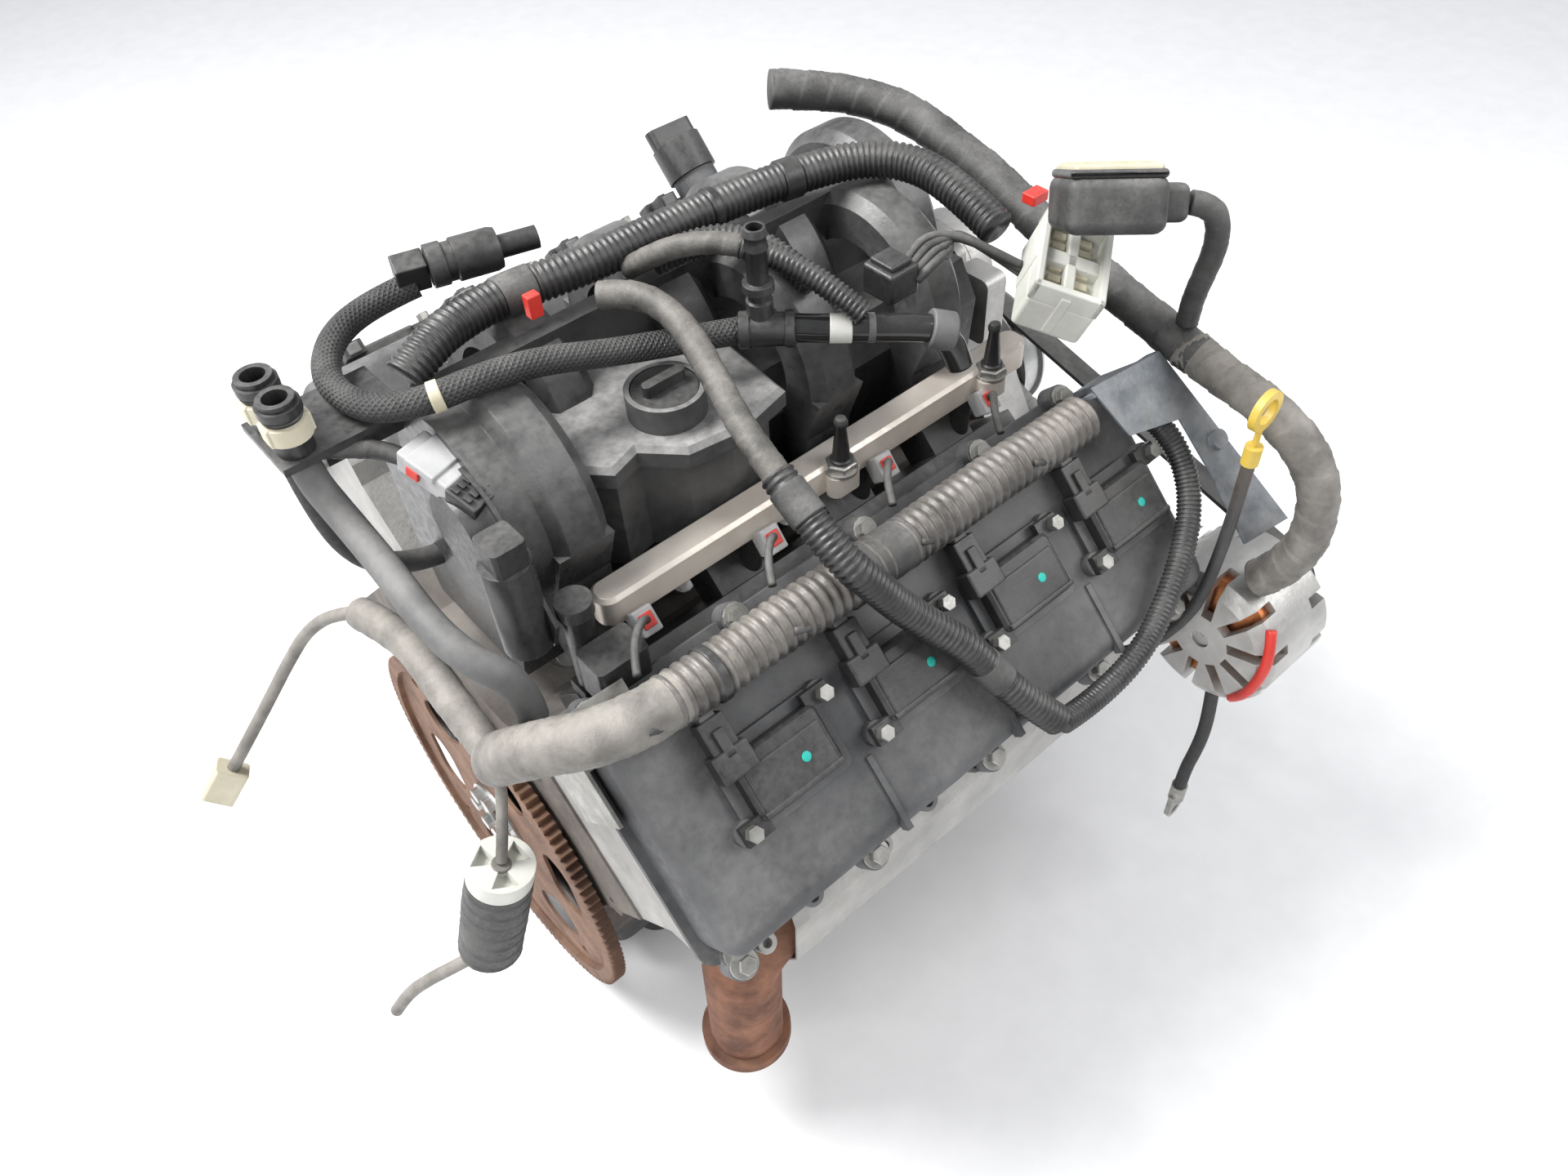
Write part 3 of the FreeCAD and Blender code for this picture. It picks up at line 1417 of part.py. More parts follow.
def make_quick_couplings():
    """Two push-on pipe couplings, each with its clip, in one carrier."""
    pieces = []
    for y in (2.0, 33.0):
        body = rod((-42, y, 462), (-42, y, 502), 12)
        body = body.fuse(rod((-42, y, 492), (-42, y, 498), 14))
        body = body.cut(rod((-42, y, 480), (-42, y, 503), coupling_bore))
        clip = box(-56, -28, y - 6, y + 6, 474, 486).cut(rod((-42, y, 470), (-42, y, 490), 12.2))
        pieces.append(body.removeSplitter())
        pieces.append(clip)
    return pieces


coupling_bore = 8.0


def make_coupling_carrier():
    plate = box(-58, intake_rear_x - 0.3, -12, 50, 456, 461.7)
    holes = []
    for y in (2.0, 33.0):
        holes.append(rod((-42, y, 450), (-42, y, 470), 11.5))
    rib = box(-26, intake_rear_x - 0.3, 12, 22, 430, 457)
    return plate.cut(holes).fuse(rib).removeSplitter()


# ---- intake actuator at the rear ----
dish_y = -76.0
dish_z = 404.0


def make_tuning_valve():
    """The runner valve's actuator: a dish on a gasket plate and an upright motor beside it."""
    x1 = intake_rear_x
    gasket = rod((x1 - 3, dish_y, dish_z), (x1, dish_y, dish_z), 44)
    lobe = prism_x([(dish_y - 6, dish_z - 43), (dish_y - 66, dish_z - 66), (dish_y - 76, dish_z - 40),
                    (dish_y - 40, dish_z + 18)], x1 - 3, 3)
    dish = cone((x1 - 3, dish_y, dish_z), (x1 - 20, dish_y, dish_z), 39, 31)
    arm = prism_x([(dish_y - 10, dish_z + 20), (dish_y - 58, dish_z - 8), (dish_y - 58, dish_z - 40), (dish_y, dish_z - 20)],
                  x1 - 17, 12)
    motor = rod((x1 - 14, dish_y - 54, dish_z - 62), (x1 - 14, dish_y - 54, dish_z + 14), 17)
    socket = rounded_box(x1 - 26, x1 - 2, dish_y - 68, dish_y - 42, dish_z + 13, dish_z + 34, 4)
    return [gasket.fuse(lobe).removeSplitter(), fused([dish, arm, motor, socket])]


def make_capped_post():
    """A hollow post with a pale dust cap on the port rail, and the block connector beside it."""
    x = 46.0
    y = -146.0
    post = rod((x, y, 290), (x, y, 362), 10.5)
    foot = box(x - 12, x + 30, y - 8, y + 10, 282, 292)
    cap = rod((x, y, 362), (x, y, 373), 13)
    block = rounded_box(x - 14, x + 26, y - 42, y - 12, 306, 342, 4)
    arm = box(x - 6, x + 6, y - 14, y - 6, 308, 330)
    return [fused([post, foot, arm, block]), cap]


def make_rear_bracket():
    """A folded steel bracket with its bolt over the rear inboard corner of the right head."""
    top = box(head_rear_x - 6, head_rear_x + 44, 62, cover_inboard + 6, cover_flange_u + 17, cover_flange_u + 20)
    leg = box(head_rear_x - 9, head_rear_x - 6, 20, cover_inboard + 4, deck_height + 60, cover_flange_u + 20)
    plate = fused([top, leg])
    bolt = hex_bolt((head_rear_x + 12, 82, cover_flange_u + 20), (0, 0, 1), 13, 8)
    return [on_bank(plate, "right"), on_bank(bolt, "right")]


shield_u = 444.0


def make_front_shield():
    """The sheet over the front of the right bank."""
    outline = [(436, 98), (512, 92), (552, -76), (500, -70), (502, -8), (499, 40), (448, 52)]
    sheet = prism_z(outline, shield_u, 2)
    lip = box(436, 512, 90, 93, shield_u - 12, shield_u + 1)
    hook = box(470, 500, 88, 93, cover_top_u - 20, shield_u - 10)
    button = Part.makeCylinder(8, 5, Vec(522, 10, shield_u + 1.5))
    return on_bank(fused([sheet, lip, hook, button]), "right")


# ---- looms and hoses held by the engine ----
def bank_route(points):
    """A route written in bank axes of the right bank."""
    return [bank_point(*p) for p in points]


main_loom_radius = 19.0
loom_seat = cover_top_u + main_loom_radius + 0.3


def make_main_loom():
    """The thick loom along the inboard edge of the cover, from the rear branch to the front channel."""
    route = [(-41, -165, 300), (-36, -200, 340)]
    route += bank_route([(6, 84, loom_seat + 5), (60, 80, loom_seat), (150, 81, loom_seat), (240, 79, loom_seat),
                         (330, 81, loom_seat), (384, 80, loom_seat), (432, 80, loom_seat)])
    return tube("main loom", route, main_loom_radius, 12)


def make_rear_loom():
    """The taped bundle from the branch up across the rear of the heads."""
    route = [(-41, -165, 300), (-42, -122, 312), (-38, -72, 318), (-40, -34, 316), (-46, 12, 302)]
    return tube("rear loom", route, 13, 10)


def make_crossing_loom():
    start = [(176, -22, 481), (192, -40, 485), (199, -74, 482), (192, -112, 471), (180, -160, 452), (173, -208, 436)]
    end = bank_route([(176, 98, 470), (190, 76, 462), (207, 50, 448), (226, 22, 442), (243, -4, 440), (256, -30, 428),
                      (270, -62, 426), (290, -92, 419)])
    return tube("crossing loom", start + end, 12, 8)


def make_front_loom():
    route = bank_route([(294.5, -97, 417), (330, -104, 410), (388, -95, 419), (440, -62, 429), (482, -26, 432),
                        (499, 12, 431), (494, 52, 428), (470, 78, 427)])
    return tube("front loom", route, 9.5, 8)


def make_top_loom():
    z = runner_centre_z + runner_outer + 14.3
    route = [
        (38, 2, 474), (62, 8, z), (92, 18, z), (132, 21, z), (180, 12, z), (250, 10, z), (320, 6, z),
        (376, -3, z), (420, -16, z), (446, -48, z), (448, -92, 480), (442, -140, 468),
    ]
    return tube("top loom", route, 14, 10)


def make_branch_loom():
    route = [(226, -17, 483), (256, -21, 486), (284, -40, 487), (298, -70, 479), (301, -98, 466)]
    return tube("branch loom", route, 10.5, 8)


def make_connector_leads():
    """The short taped leads from the two large plugs to the front harness."""
    pale = [(452, -185.6, 424.6), (455, -176, 406), (470, -170, 392), (492, -173, 388), (509, -184, 393)]
    dark = [(513.6, -247.7, 502), (524, -258, 499), (531, -263, 485), (534, -263, 463), (532, -260, 440),
            (530, -257, 419), (530, -257, 400.5)]
    return [tube("pale plug lead", pale, 8, 8), tube("dark plug lead", dark, 9, 8)]


tee_place = (256.0, -94.0, 452.0)


def make_breather_hose():
    """The braided hose from the rear to its tee."""
    route = [
        (88, 68, 490), (58, 76, 485), (24, 70, 480), (2, 46, 474), (-2, 16, 473), (6, -16, 475), (32, -38, 480),
        (72, -46, 483), (112, -50, 476), (158, -56, 461), (208, -70, 453),
        tee_place,
    ]
    return tube("breather hose", route, 9.5, 10)


def make_breather_pipe():
    """The tee with its upright nipple, the smooth pipe and the elbow at its end."""
    x, y, z = tee_place
    route = [tee_place, (282, -122, 451), (332, -160, 447), (356, -176, 441), (362, -184, 412)]
    pipe = tube("breather pipe", route, 10)
    tee = rod((x - 14, y + 8, z), (x + 22, y - 24, z), 13)
    nipple = spigot((x, y, z), (x, y, z + 78), nipple_radius, nipple_seat_length)
    collar = rod((x, y, z + 30), (x, y, z + 36), 11)
    elbow = rod((346, -169, 443), (360, -179, 438), 14)
    return pipe.fuse([tee, nipple, collar, elbow]).removeSplitter()


nipple_radius = 7.5
nipple_seat_length = 42.0


def make_purge_valve():
    """The small solenoid valve with its plug beside the top loom."""
    body = rod((96, 66, 499), (146, 52, 499), 15)
    spout = rod((140, 54, 499), (176, 44, 499), 8)
    plug = rod((76, 72, 499), (98, 65, 499), 12)
    foot = box(112, 124, 52, 66, 462, 488)
    return fused([body, spout, plug, foot])


def make_front_harness():
    """The taped bundle that comes round the front of the intake and down to the alternator."""
    route = [
        (450, 120, 484), (494, 92, 478), (528, 48, 466), (535, -6, 452), (532, -60, 440), (528, -112, 424),
        (528, -168, 406),
        (530, -228, 388), (528, -288, 376), (530, -340, 366), (534, -384, 336), (536, -398, 288), (532, -392, 240),
        (528, -372, 212),
    ]
    return tube("front harness", route, 17, 10)


def make_big_connectors():
    """The large bulkhead plugs at the front: a pale one and a dark one with its pale face."""
    pale = rounded_box(-36, 36, -26, 26, -24, 24, 6)
    pale = pale.cut(rounded_box(-30, 30, -20, 20, 8, 25, 4))
    pale.rotate(ORIGIN, Z_AXIS, 38)
    pale.rotate(ORIGIN, X_AXIS, 24)
    pale.translate(Vec(452, -196, 448))
    dark = rounded_box(-46, 46, -32, 32, -22, 14, 8)
    neck = rounded_box(18, 42, -60, -30, -18, 8, 6)
    dark = dark.fuse(neck).removeSplitter()
    face = rounded_box(-43, 43, -29, 29, 14, 22, 7)
    green = box(43, 47, -28, 26, 4, 18)
    pieces = [dark, face, green.cut(dark).cut(face)]
    placed = []
    for piece in pieces:
        piece.rotate(ORIGIN, Y_AXIS, 28)
        piece.rotate(ORIGIN, Z_AXIS, 46)
        piece.translate(Vec(452, -222, 520.5))
        placed.append(piece)
    return [pale], placed


# ---- cords that hang free ----
lead_radius = 5.0
barrel_lead_radius = 4.0
left_lead_route = [
    (-46.4, 13.6, 301.4), (-58, 42, 286), (-76, 70, 258), (-96, 88, 222), (-124, 94, 188), (-152, 97, 158), (-172, 102, 134),
]
barrel_lead_route = [
    (-43.4, -167.7, 292.8), (-48.5, -173, 279.5), (-56, -180, 266), (-63, -186, 252), (-70.2, -190.5, 237.6),
]
barrel_tail_route = [
    (-98, -177.3, 135.4), (-108, -170, 123), (-124, -157, 106), (-143, -140, 84), (-160, -124, 58), (-172, -116, 34),
]
cable_radius = 6.0
cable_route = [
    (515, -372, 75.3), (511, -377, 52), (507, -380, 26), (505, -379, -2), (505, -376, -30), (505, -376, -58),
]


def make_left_plug():
    end = Vec(-172, 102, 134)
    way = Vec(-20, 5, -24).normalize()
    shell = rounded_box(-13, 13, -9, 9, 0, 34, 3, Z_AXIS)
    shell.Placement = FreeCAD.Placement(end, FreeCAD.Rotation(Z_AXIS, way))
    return shell


def make_barrel():
    """A round bulkhead plug, its pale end up with three sector windows."""
    top = Vec(-71, -191, 236)
    low = Vec(-97, -178, 138)
    way = (low - top).normalize()
    length = (low - top).Length
    face = Part.makeCylinder(23, 14).cut([sector_window(k) for k in range(3)])
    body = Part.makeCylinder(21, length - 14, Vec(0, 0, 14))
    placed = []
    for piece in (face, body):
        piece.Placement = FreeCAD.Placement(top, FreeCAD.Rotation(Z_AXIS, way))
        placed.append(piece)
    return placed


def sector_window(number):
    """A keystone shaped window in the round face."""
    outline = [(5, -2.5), (18, -9), (18, 9), (5, 2.5)]
    window = prism_z(outline, -1, 9)
    window.rotate(ORIGIN, Z_AXIS, 120.0 * number)
    return window


lug_barrel_radius = 7.5
lug_eye_radius = 5.2
lug_half_width = 10.0
lug_thickness = 5.0
lug_barrel_length = 22.0
lug_eye_drop = 40.0


def make_lug():
    """A crimped eye at the cable's end, its tongue hanging straight down."""
    end = Vec(*cable_route[-1])
    barrel = rod(end, end - Z_AXIS * lug_barrel_length, lug_barrel_radius)
    half = lug_thickness / 2
    eye = end - Z_AXIS * lug_eye_drop
    tongue = box(end.x - lug_half_width, end.x + lug_half_width, end.y - half, end.y + half, eye.z, end.z - 14)
    tongue = tongue.fuse(rod(eye - Y_AXIS * half, eye + Y_AXIS * half, lug_half_width))
    hole = rod(eye - Y_AXIS * 20, eye + Y_AXIS * 20, lug_eye_radius)
    return barrel.fuse(tongue).cut(hole).removeSplitter()


# ---- the sub-parts, each in its own file ----
def both_banks(maker):
    return maker("right") + maker("left")


def export_bottom_end():
    oil_filter = make_oil_filter()
    block = seated(make_block(), [oil_filter])
    tube_solid = make_dipstick_tube()
    cover = make_cover("right")
    export("cylinder_block", [block])
    export("oil_filter", [oil_filter])
    export("dipstick_tube", [seated(tube_solid, [block, cover])])
    export("dipstick", [make_dipstick()])
    export("main_bearing_caps", make_main_caps())
    export("oil_pan", list(make_oil_pan()))
    export("crankshaft", [make_crankshaft()])
    pistons = []
    rods = []
    for side in SIDES:
        for number, x in enumerate(cylinder_x):
            pistons.append(make_piston(x, piston_height_at(number, side), side))
            rods.append(make_rod(x, number, side))
    export("pistons", pistons)
    export("connecting_rods", rods)
    export("camshaft", [make_camshaft()])
    export("crank_sprocket", [sprocket(chain_x, 0, crank_sprocket_radius, crank_sprocket_teeth, snout_radius)])
    export("cam_sprocket", [sprocket(chain_x, cam_z, cam_sprocket_radius, cam_sprocket_teeth, cam_base_radius - 3)])
    export("timing_chain", [make_timing_chain()])
    export("flexplate", [make_flexplate()])
    export("flexplate_bolts", make_flexplate_bolts())


def export_heads():
    for side in SIDES:
        export(f"cylinder_head_{side}", [make_head(side)])
    export("engine_valves", both_banks(make_valves))
    export("lifters_and_rockers", both_banks(make_lifters) + both_banks(make_rockers))
    bolts = both_banks(make_cover_bolts)
    neck, bore = make_fill_neck("left")
    export("valve_cover_right", [make_cover("right").cut(bolts)])
    export("valve_cover_left", [make_cover("left").fuse(neck).cut(bore).removeSplitter().cut(bolts)])
    export("cover_bolts", bolts)
    export("oil_filler_cap", [make_oil_filler_cap()])
    export("ignition_coils", [make_coil(x, side) for side in SIDES for x in cylinder_x])
    exhaust = make_exhaust()
    export("exhaust_manifold_right", [exhaust])
    left = mirrored(exhaust)
    left.translate(Vec(bank_stagger, 0, 0))
    export("exhaust_manifold_left", [left])
    export("heat_shield", [seated(make_heat_shield(), [exhaust])])


def export_intake():
    injectors = []
    for side in SIDES:
        shift = bank_stagger if side == "left" else 0.0
        for x in cylinder_x:
            injectors.append(on_side(make_injector(x - 6 + shift), side))
    studs = [make_stud(x) for x in stud_x]
    studs += [mirrored(stud) for stud in studs]
    rail = make_fuel_rail()
    rails = [side_rail.cut(studs + injectors) for side_rail in (rail, mirrored(rail))]
    intake = make_intake().cut(injectors)
    dish, motor = make_tuning_valve()
    valve = make_purge_valve()
    pipe = make_breather_pipe()
    export("fuel_injectors", injectors)
    export("fuel_rails", rails + studs)
    export("intake_manifold", [intake])
    export("plenum_cover", [seated(make_plenum_cover(), [intake])])
    export("plenum_cap", [make_plenum_cap()])
    export("throttle_body", [make_throttle_body()])
    export("throttle_plate", [make_throttle_plate()])
    export("tuning_valve", [dish, seated(motor, [dish])])
    hoses = [make_heater_hose(), seated(make_heater_pipe(), [intake]),
             seated(make_breather_hose(), [pipe, valve]), pipe]
    export("hoses", hoses + [seated(valve, [intake])])


def export_front():
    cover = make_timing_cover()
    export("timing_cover", [cover] + make_front_pins())
    export("crank_damper", make_damper())
    export("water_pump", [seated(make_pump_housing(), [cover])])
    export("water_pump_pulley", [make_pump_pulley()])
    export("idler_pulley", [make_idler()])
    export("tensioner_arm", [make_tensioner_arm()])
    export("tensioner_pulley", [make_tensioner_pulley()])
    export("accessory_belt", [make_belt()])
    export("alternator_housing", [make_alternator_housing()])
    export("alternator_rotor", [make_alternator_rotor()])
    plate, bolt = make_rear_bracket()
    rocker_cover = make_cover("right")
    cover_screws = make_cover_bolts("right")
    plate = seated(plate, [rocker_cover, make_hose_fitting()] + cover_screws)
    bolt = seated(bolt, [plate, rocker_cover] + cover_screws)
    export("brackets", [plate, bolt, seated(make_alternator_bracket(), [cover])])
    export("front_shield", [make_front_shield()])
    post, cap = make_capped_post()
    export("capped_post", [seated(post, [rocker_cover, make_head("right")]), cap])


def export_wiring():
    export("pipe_couplings", make_quick_couplings() + [make_coupling_carrier(), make_hose_fitting()])
    main_loom = make_main_loom()
    export("taped_looms", [main_loom, seated(make_rear_loom(), [main_loom]), make_front_harness()])
    looms = [make_crossing_loom(), make_front_loom(), make_top_loom(), make_branch_loom()]
    export("black_looms", looms + make_connector_leads())
    pale, dark = make_big_connectors()
    plugs = [make_coil_plug(x, side) for side in SIDES for x in cylinder_x]
    export("wire_connectors", plugs + pale + dark)
    export("left_lead", [tube("left lead", left_lead_route, lead_radius)])
    export("left_plug", [make_left_plug()])
    export("barrel_lead", [tube("barrel lead", barrel_lead_route, barrel_lead_radius)])
    export("barrel_plug", make_barrel())
    export("barrel_tail", [tube("barrel tail", barrel_tail_route, lead_radius)])
    export("battery_cable", [tube("battery cable", cable_route, cable_radius)])
    export("cable_lug", [make_lug()])


export_bottom_end()
export_heads()
export_intake()
export_front()
export_wiring()
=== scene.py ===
import math

import bpy
import numpy as np
from mathutils import Matrix, Vector


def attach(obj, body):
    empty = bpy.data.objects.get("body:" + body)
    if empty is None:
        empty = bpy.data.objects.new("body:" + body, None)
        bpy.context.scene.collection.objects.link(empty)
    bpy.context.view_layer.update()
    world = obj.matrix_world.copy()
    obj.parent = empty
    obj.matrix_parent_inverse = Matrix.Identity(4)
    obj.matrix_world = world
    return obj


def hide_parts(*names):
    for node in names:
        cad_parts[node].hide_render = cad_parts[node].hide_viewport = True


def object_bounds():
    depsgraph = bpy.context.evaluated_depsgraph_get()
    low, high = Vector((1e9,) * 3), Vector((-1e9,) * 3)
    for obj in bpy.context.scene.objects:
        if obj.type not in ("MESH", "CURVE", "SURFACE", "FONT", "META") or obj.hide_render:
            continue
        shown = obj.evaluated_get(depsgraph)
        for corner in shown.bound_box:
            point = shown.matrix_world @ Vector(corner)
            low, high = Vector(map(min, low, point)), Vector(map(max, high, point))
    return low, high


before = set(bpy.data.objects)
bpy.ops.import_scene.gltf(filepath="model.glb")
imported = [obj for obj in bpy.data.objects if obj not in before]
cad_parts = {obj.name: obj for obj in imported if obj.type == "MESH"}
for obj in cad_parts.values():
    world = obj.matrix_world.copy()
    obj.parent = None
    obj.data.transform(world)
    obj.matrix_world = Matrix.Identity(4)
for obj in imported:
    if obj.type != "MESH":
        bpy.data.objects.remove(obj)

# A V8 engine's looks, in metres, in the frame of the CAD model: +X front, +Y left, +Z up.
# Routes, profiles and boxes are in millimetres. The axes of a bank are x along the crank, w towards the
# engine's middle and u out along the bores; a name that ends in _W or _U is a place on them.
MM = 0.001
cad_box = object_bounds()

HALF_ROOT = math.sqrt(0.5)
BANK_ANGLE = 45.0
BANK_STAGGER = 24.0
BORE_SPACING = 113.3
CYLINDER_X = [95.0 + BORE_SPACING * k for k in range(4)]
COVER_BOLT_X = [16.0 + 121.5 * k for k in range(4)] + [476.0]
COVER_LUG_X = (38.0, 148.0, 262.0)
COVER_BOLT_W = -104
COVER_LUG_W = -105
RAIL_STUD_X = (278.0, 440.0)
RAIL_STUD_Y = 149.5
RAIL_STUD_Z = 343.0
COUPLING_X = -42
COUPLING_Y = (2.0, 33.0)
MAIN_RUN_U = 427.3
TOP_RUN_Z = 484.3
ALTERNATOR_AXLE = (502, -352, 140)

# The distance between the rings of a swept tube, in metres.
RIB_STEP = 0.75 * MM
BAND_STEP = 1.0 * MM
TAPE_STEP = 1.2 * MM
HOSE_STEP = 1.5 * MM

# Edges of a turned piece that bend by more degrees than this stay sharp.
SHARP_ANGLE = 40
# A rib is a sine wave squared off by this much.
RIB_SQUARENESS = 2.5
# Sides of a tube whose turn lies past these two shares cross the seam of the UV map.
SEAM_LAST = 0.9
SEAM_FIRST = 0.1

# Surfaces: where noise turns into patches, specks, dust and wear; how far rounding and grain go, in metres.
PATCH_EDGES = (0.35, 0.68)
SPECK_EDGES = (0.3, 0.7)
FACING_EDGES = (-0.2, 0.9)
SETTLED_EDGES = (0.36, 0.62)
WEAR_EDGES = (0.53, 0.60)
EDGE_ROUNDING = 0.0009
GRAIN_DEPTH = 0.0006
BRAID_STRANDS = 12
BRAID_LAY = 1500.0
DUSTY = (0.36, 0.35, 0.33)
PALE_DUST = (0.44, 0.42, 0.39)

CAMERA_AZIMUTH = -38.252
CAMERA_ELEVATION = 47.275
CAMERA_ROLL = -3.93
CAMERA_LENS = 27.86
CAMERA_SENSOR = 36.0
CAMERA_PLACE = (-0.175412, -0.646586, 0.944232)
LIGHT_TARGET = (0.22, -0.05, 0.2)
WORLD_STRENGTH = 0.52
FLOOR_REACH = 6.0


# ---- places ----
def bank_point(x, inboard, outward, side="right"):
    """The engine place, in millimetres, of a point in the axes of a bank of cylinders."""
    y = (inboard - outward) * HALF_ROOT
    z = (inboard + outward) * HALF_ROOT
    if side == "left":
        return (x + BANK_STAGGER, -y, z)
    return (x, y, z)


def bank_matrix(side="right"):
    """Takes a piece modelled in bank axes, in metres, to its place on the engine."""
    turn = Matrix.Rotation(math.radians(BANK_ANGLE), 4, "X")
    if side == "left":
        mirror = Matrix.Diagonal((1.0, -1.0, 1.0, 1.0))
        return Matrix.Translation((BANK_STAGGER * MM, 0.0, 0.0)) @ mirror @ turn
    return turn


# ---- meshes ----
def add_mesh(name, verts, faces, material, smooth=True, body="root"):
    """A piece from vertices in metres, riding a body."""
    mesh = bpy.data.meshes.new(name)
    mesh.from_pydata([tuple(v) for v in verts], [], faces)
    mesh.update()
    piece = bpy.data.objects.new(name, mesh)
    bpy.context.scene.collection.objects.link(piece)
    mesh.materials.append(material)
    if smooth:
        mesh.polygons.foreach_set("use_smooth", [True] * len(mesh.polygons))
    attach(piece, body)
    return piece


def route_line(points, step):
    """Evenly spaced points, in metres, along the smooth curve that a route in millimetres steers."""
    curve = bpy.data.curves.new("route", "CURVE")
    curve.dimensions = "3D"
    curve.resolution_u = 24
    spline = curve.splines.new("NURBS")
    spline.points.add(len(points) - 1)
    for place, point in zip(spline.points, points):
        place.co = (point[0] * MM, point[1] * MM, point[2] * MM, 1.0)
    spline.order_u = 3
    spline.use_endpoint_u = True
    holder = bpy.data.objects.new("route", curve)
    mesh = bpy.data.meshes.new_from_object(holder)
    line = np.array([tuple(v.co) for v in mesh.vertices])
    bpy.data.objects.remove(holder)
    bpy.data.meshes.remove(mesh)
    bpy.data.curves.remove(curve)
    lengths = np.concatenate([[0.0], np.cumsum(np.linalg.norm(np.diff(line, axis=0), axis=1))])
    count = max(3, int(round(lengths[-1] / step)) + 1)
    stations = np.linspace(0.0, lengths[-1], count)
    return np.stack([np.interp(stations, lengths, line[:, k]) for k in range(3)], axis=1)


def line_frames(line):
    """Two directions across the line at each of its points, carried along without twist."""
    ways = np.gradient(line, axis=0)
    ways /= np.linalg.norm(ways, axis=1)[:, None]
    first = np.cross(ways[0], (0.0, 0.0, 1.0))
    if np.linalg.norm(first) < 0.2:
        first = np.cross(ways[0], (0.0, 1.0, 0.0))
    across = [first / np.linalg.norm(first)]
    for way in ways[1:]:
        carried = across[-1] - way * np.dot(across[-1], way)
        across.append(carried / np.linalg.norm(carried))
    across = np.array(across)
    return across, np.cross(ways, across)


def sweep(name, line, radius, material, sides=20, body="root"):
    """A closed tube; radius(s, angle) gives its surface, and its UV map holds (turn, s in metres)."""
    lengths = np.concatenate([[0.0], np.cumsum(np.linalg.norm(np.diff(line, axis=0), axis=1))])
    angles = np.linspace(0.0, 2 * math.pi, sides, endpoint=False)
    across, up = line_frames(line)
    reach = radius(lengths[:, None], angles[None, :]) * np.ones((len(line), sides))
    ring = across[:, None, :] * np.cos(angles)[None, :, None] + up[:, None, :] * np.sin(angles)[None, :, None]
    verts = (line[:, None, :] + ring * reach[:, :, None]).reshape(-1, 3)
    faces = []
    for k in range(len(line) - 1):
        for j in range(sides):
            a = k * sides + j
            b = k * sides + (j + 1) % sides
            faces.append((a, b, b + sides, a + sides))
    faces.append(tuple(reversed(range(sides))))
    faces.append(tuple(range(len(verts) - sides, len(verts))))
    piece = add_mesh(name, verts, faces, material, body=body)
    uv = piece.data.uv_layers.new(name="UVMap")
    turns = np.tile(np.arange(sides) / sides, len(line))
    along = np.repeat(lengths, sides)
    for polygon in piece.data.polygons:
        seam = len(polygon.vertices) == 4 and max(turns[v] for v in polygon.vertices) > SEAM_LAST
        for loop, vertex in zip(polygon.loop_indices, polygon.vertices):
            turn = turns[vertex]
            uv.data[loop].uv = (turn + 1.0 if seam and turn < SEAM_FIRST else turn, along[vertex])
    return piece


def corrugated(radius, pitch=4.4, depth=1.3):
    """A ribbed tube's radius, in metres."""
    def reach(s, angle):
        wave = np.tanh(RIB_SQUARENESS * np.sin(2 * math.pi * s / (pitch * MM))) / math.tanh(RIB_SQUARENESS)
        return (radius - depth * (0.5 - 0.5 * wave)) * MM + 0.0 * angle
    return reach


def taped(radius, lead=17.0, rough=0.9, seed=0.0):
    """A tape wound bundle's radius: a lap at each turn of the tape, and the lumps of the wires inside."""
    def reach(s, angle):
        turn = s / (lead * MM) + angle / (2 * math.pi)
        lap = 1.0 - np.mod(turn, 1.0)
        lumps = np.sin(3 * angle + 40 * s + seed) * np.sin(90 * s + seed) + np.sin(2 * angle - 60 * s)
        creases = np.sin(14 * angle + 900 * s) * np.sin(260 * s + 2 * angle + seed)
        return (radius - rough + rough * (0.45 * lap + 0.18 * lumps + 0.12 * creases)) * MM
    return reach


def smooth_tube(radius):
    """A plain tube's radius, in the form that sweep asks for."""
    def reach(s, angle):
        return radius * MM + 0.0 * s + 0.0 * angle
    return reach


def box_shell(name, low, high, material, bevel=1.2, segments=3, place=None, body="root", smooth=True):
    """A soft edged moulding between two corners, in millimetres, moved by a matrix in metres."""
    corners = [(x, y, z) for x in (low[0], high[0]) for y in (low[1], high[1]) for z in (low[2], high[2])]
    faces = [(0, 1, 3, 2), (4, 6, 7, 5), (0, 4, 5, 1), (2, 3, 7, 6), (0, 2, 6, 4), (1, 5, 7, 3)]
    piece = add_mesh(name, [Vector(c) * MM for c in corners], faces, material, smooth=smooth, body=body)
    rounding = piece.modifiers.new("rounding", "BEVEL")
    rounding.width = bevel * MM
    rounding.segments = segments
    rounding.harden_normals = True
    if place is not None:
        piece.data.transform(place)
        if place.determinant() < 0:
            piece.data.flip_normals()
    return piece


def lathe(name, profile, material, place, sides=32, body="root"):
    """A turned piece: profile lists (radius, height) in millimetres round the local Z axis."""
    verts = []
    faces = []
    for radius, height in profile:
        for j in range(sides):
            angle = 2 * math.pi * j / sides
            verts.append(Vector((radius * math.cos(angle), radius * math.sin(angle), height)) * MM)
    for k in range(len(profile) - 1):
        for j in range(sides):
            a = k * sides + j
            b = k * sides + (j + 1) % sides
            faces.append((a, b, b + sides, a + sides))
    faces.append(tuple(reversed(range(sides))))
    faces.append(tuple(range(len(verts) - sides, len(verts))))
    piece = add_mesh(name, verts, faces, material, body=body)
    piece.data.transform(place)
    sharp = piece.modifiers.new("edges", "EDGE_SPLIT")
    sharp.split_angle = math.radians(SHARP_ANGLE)
    return piece


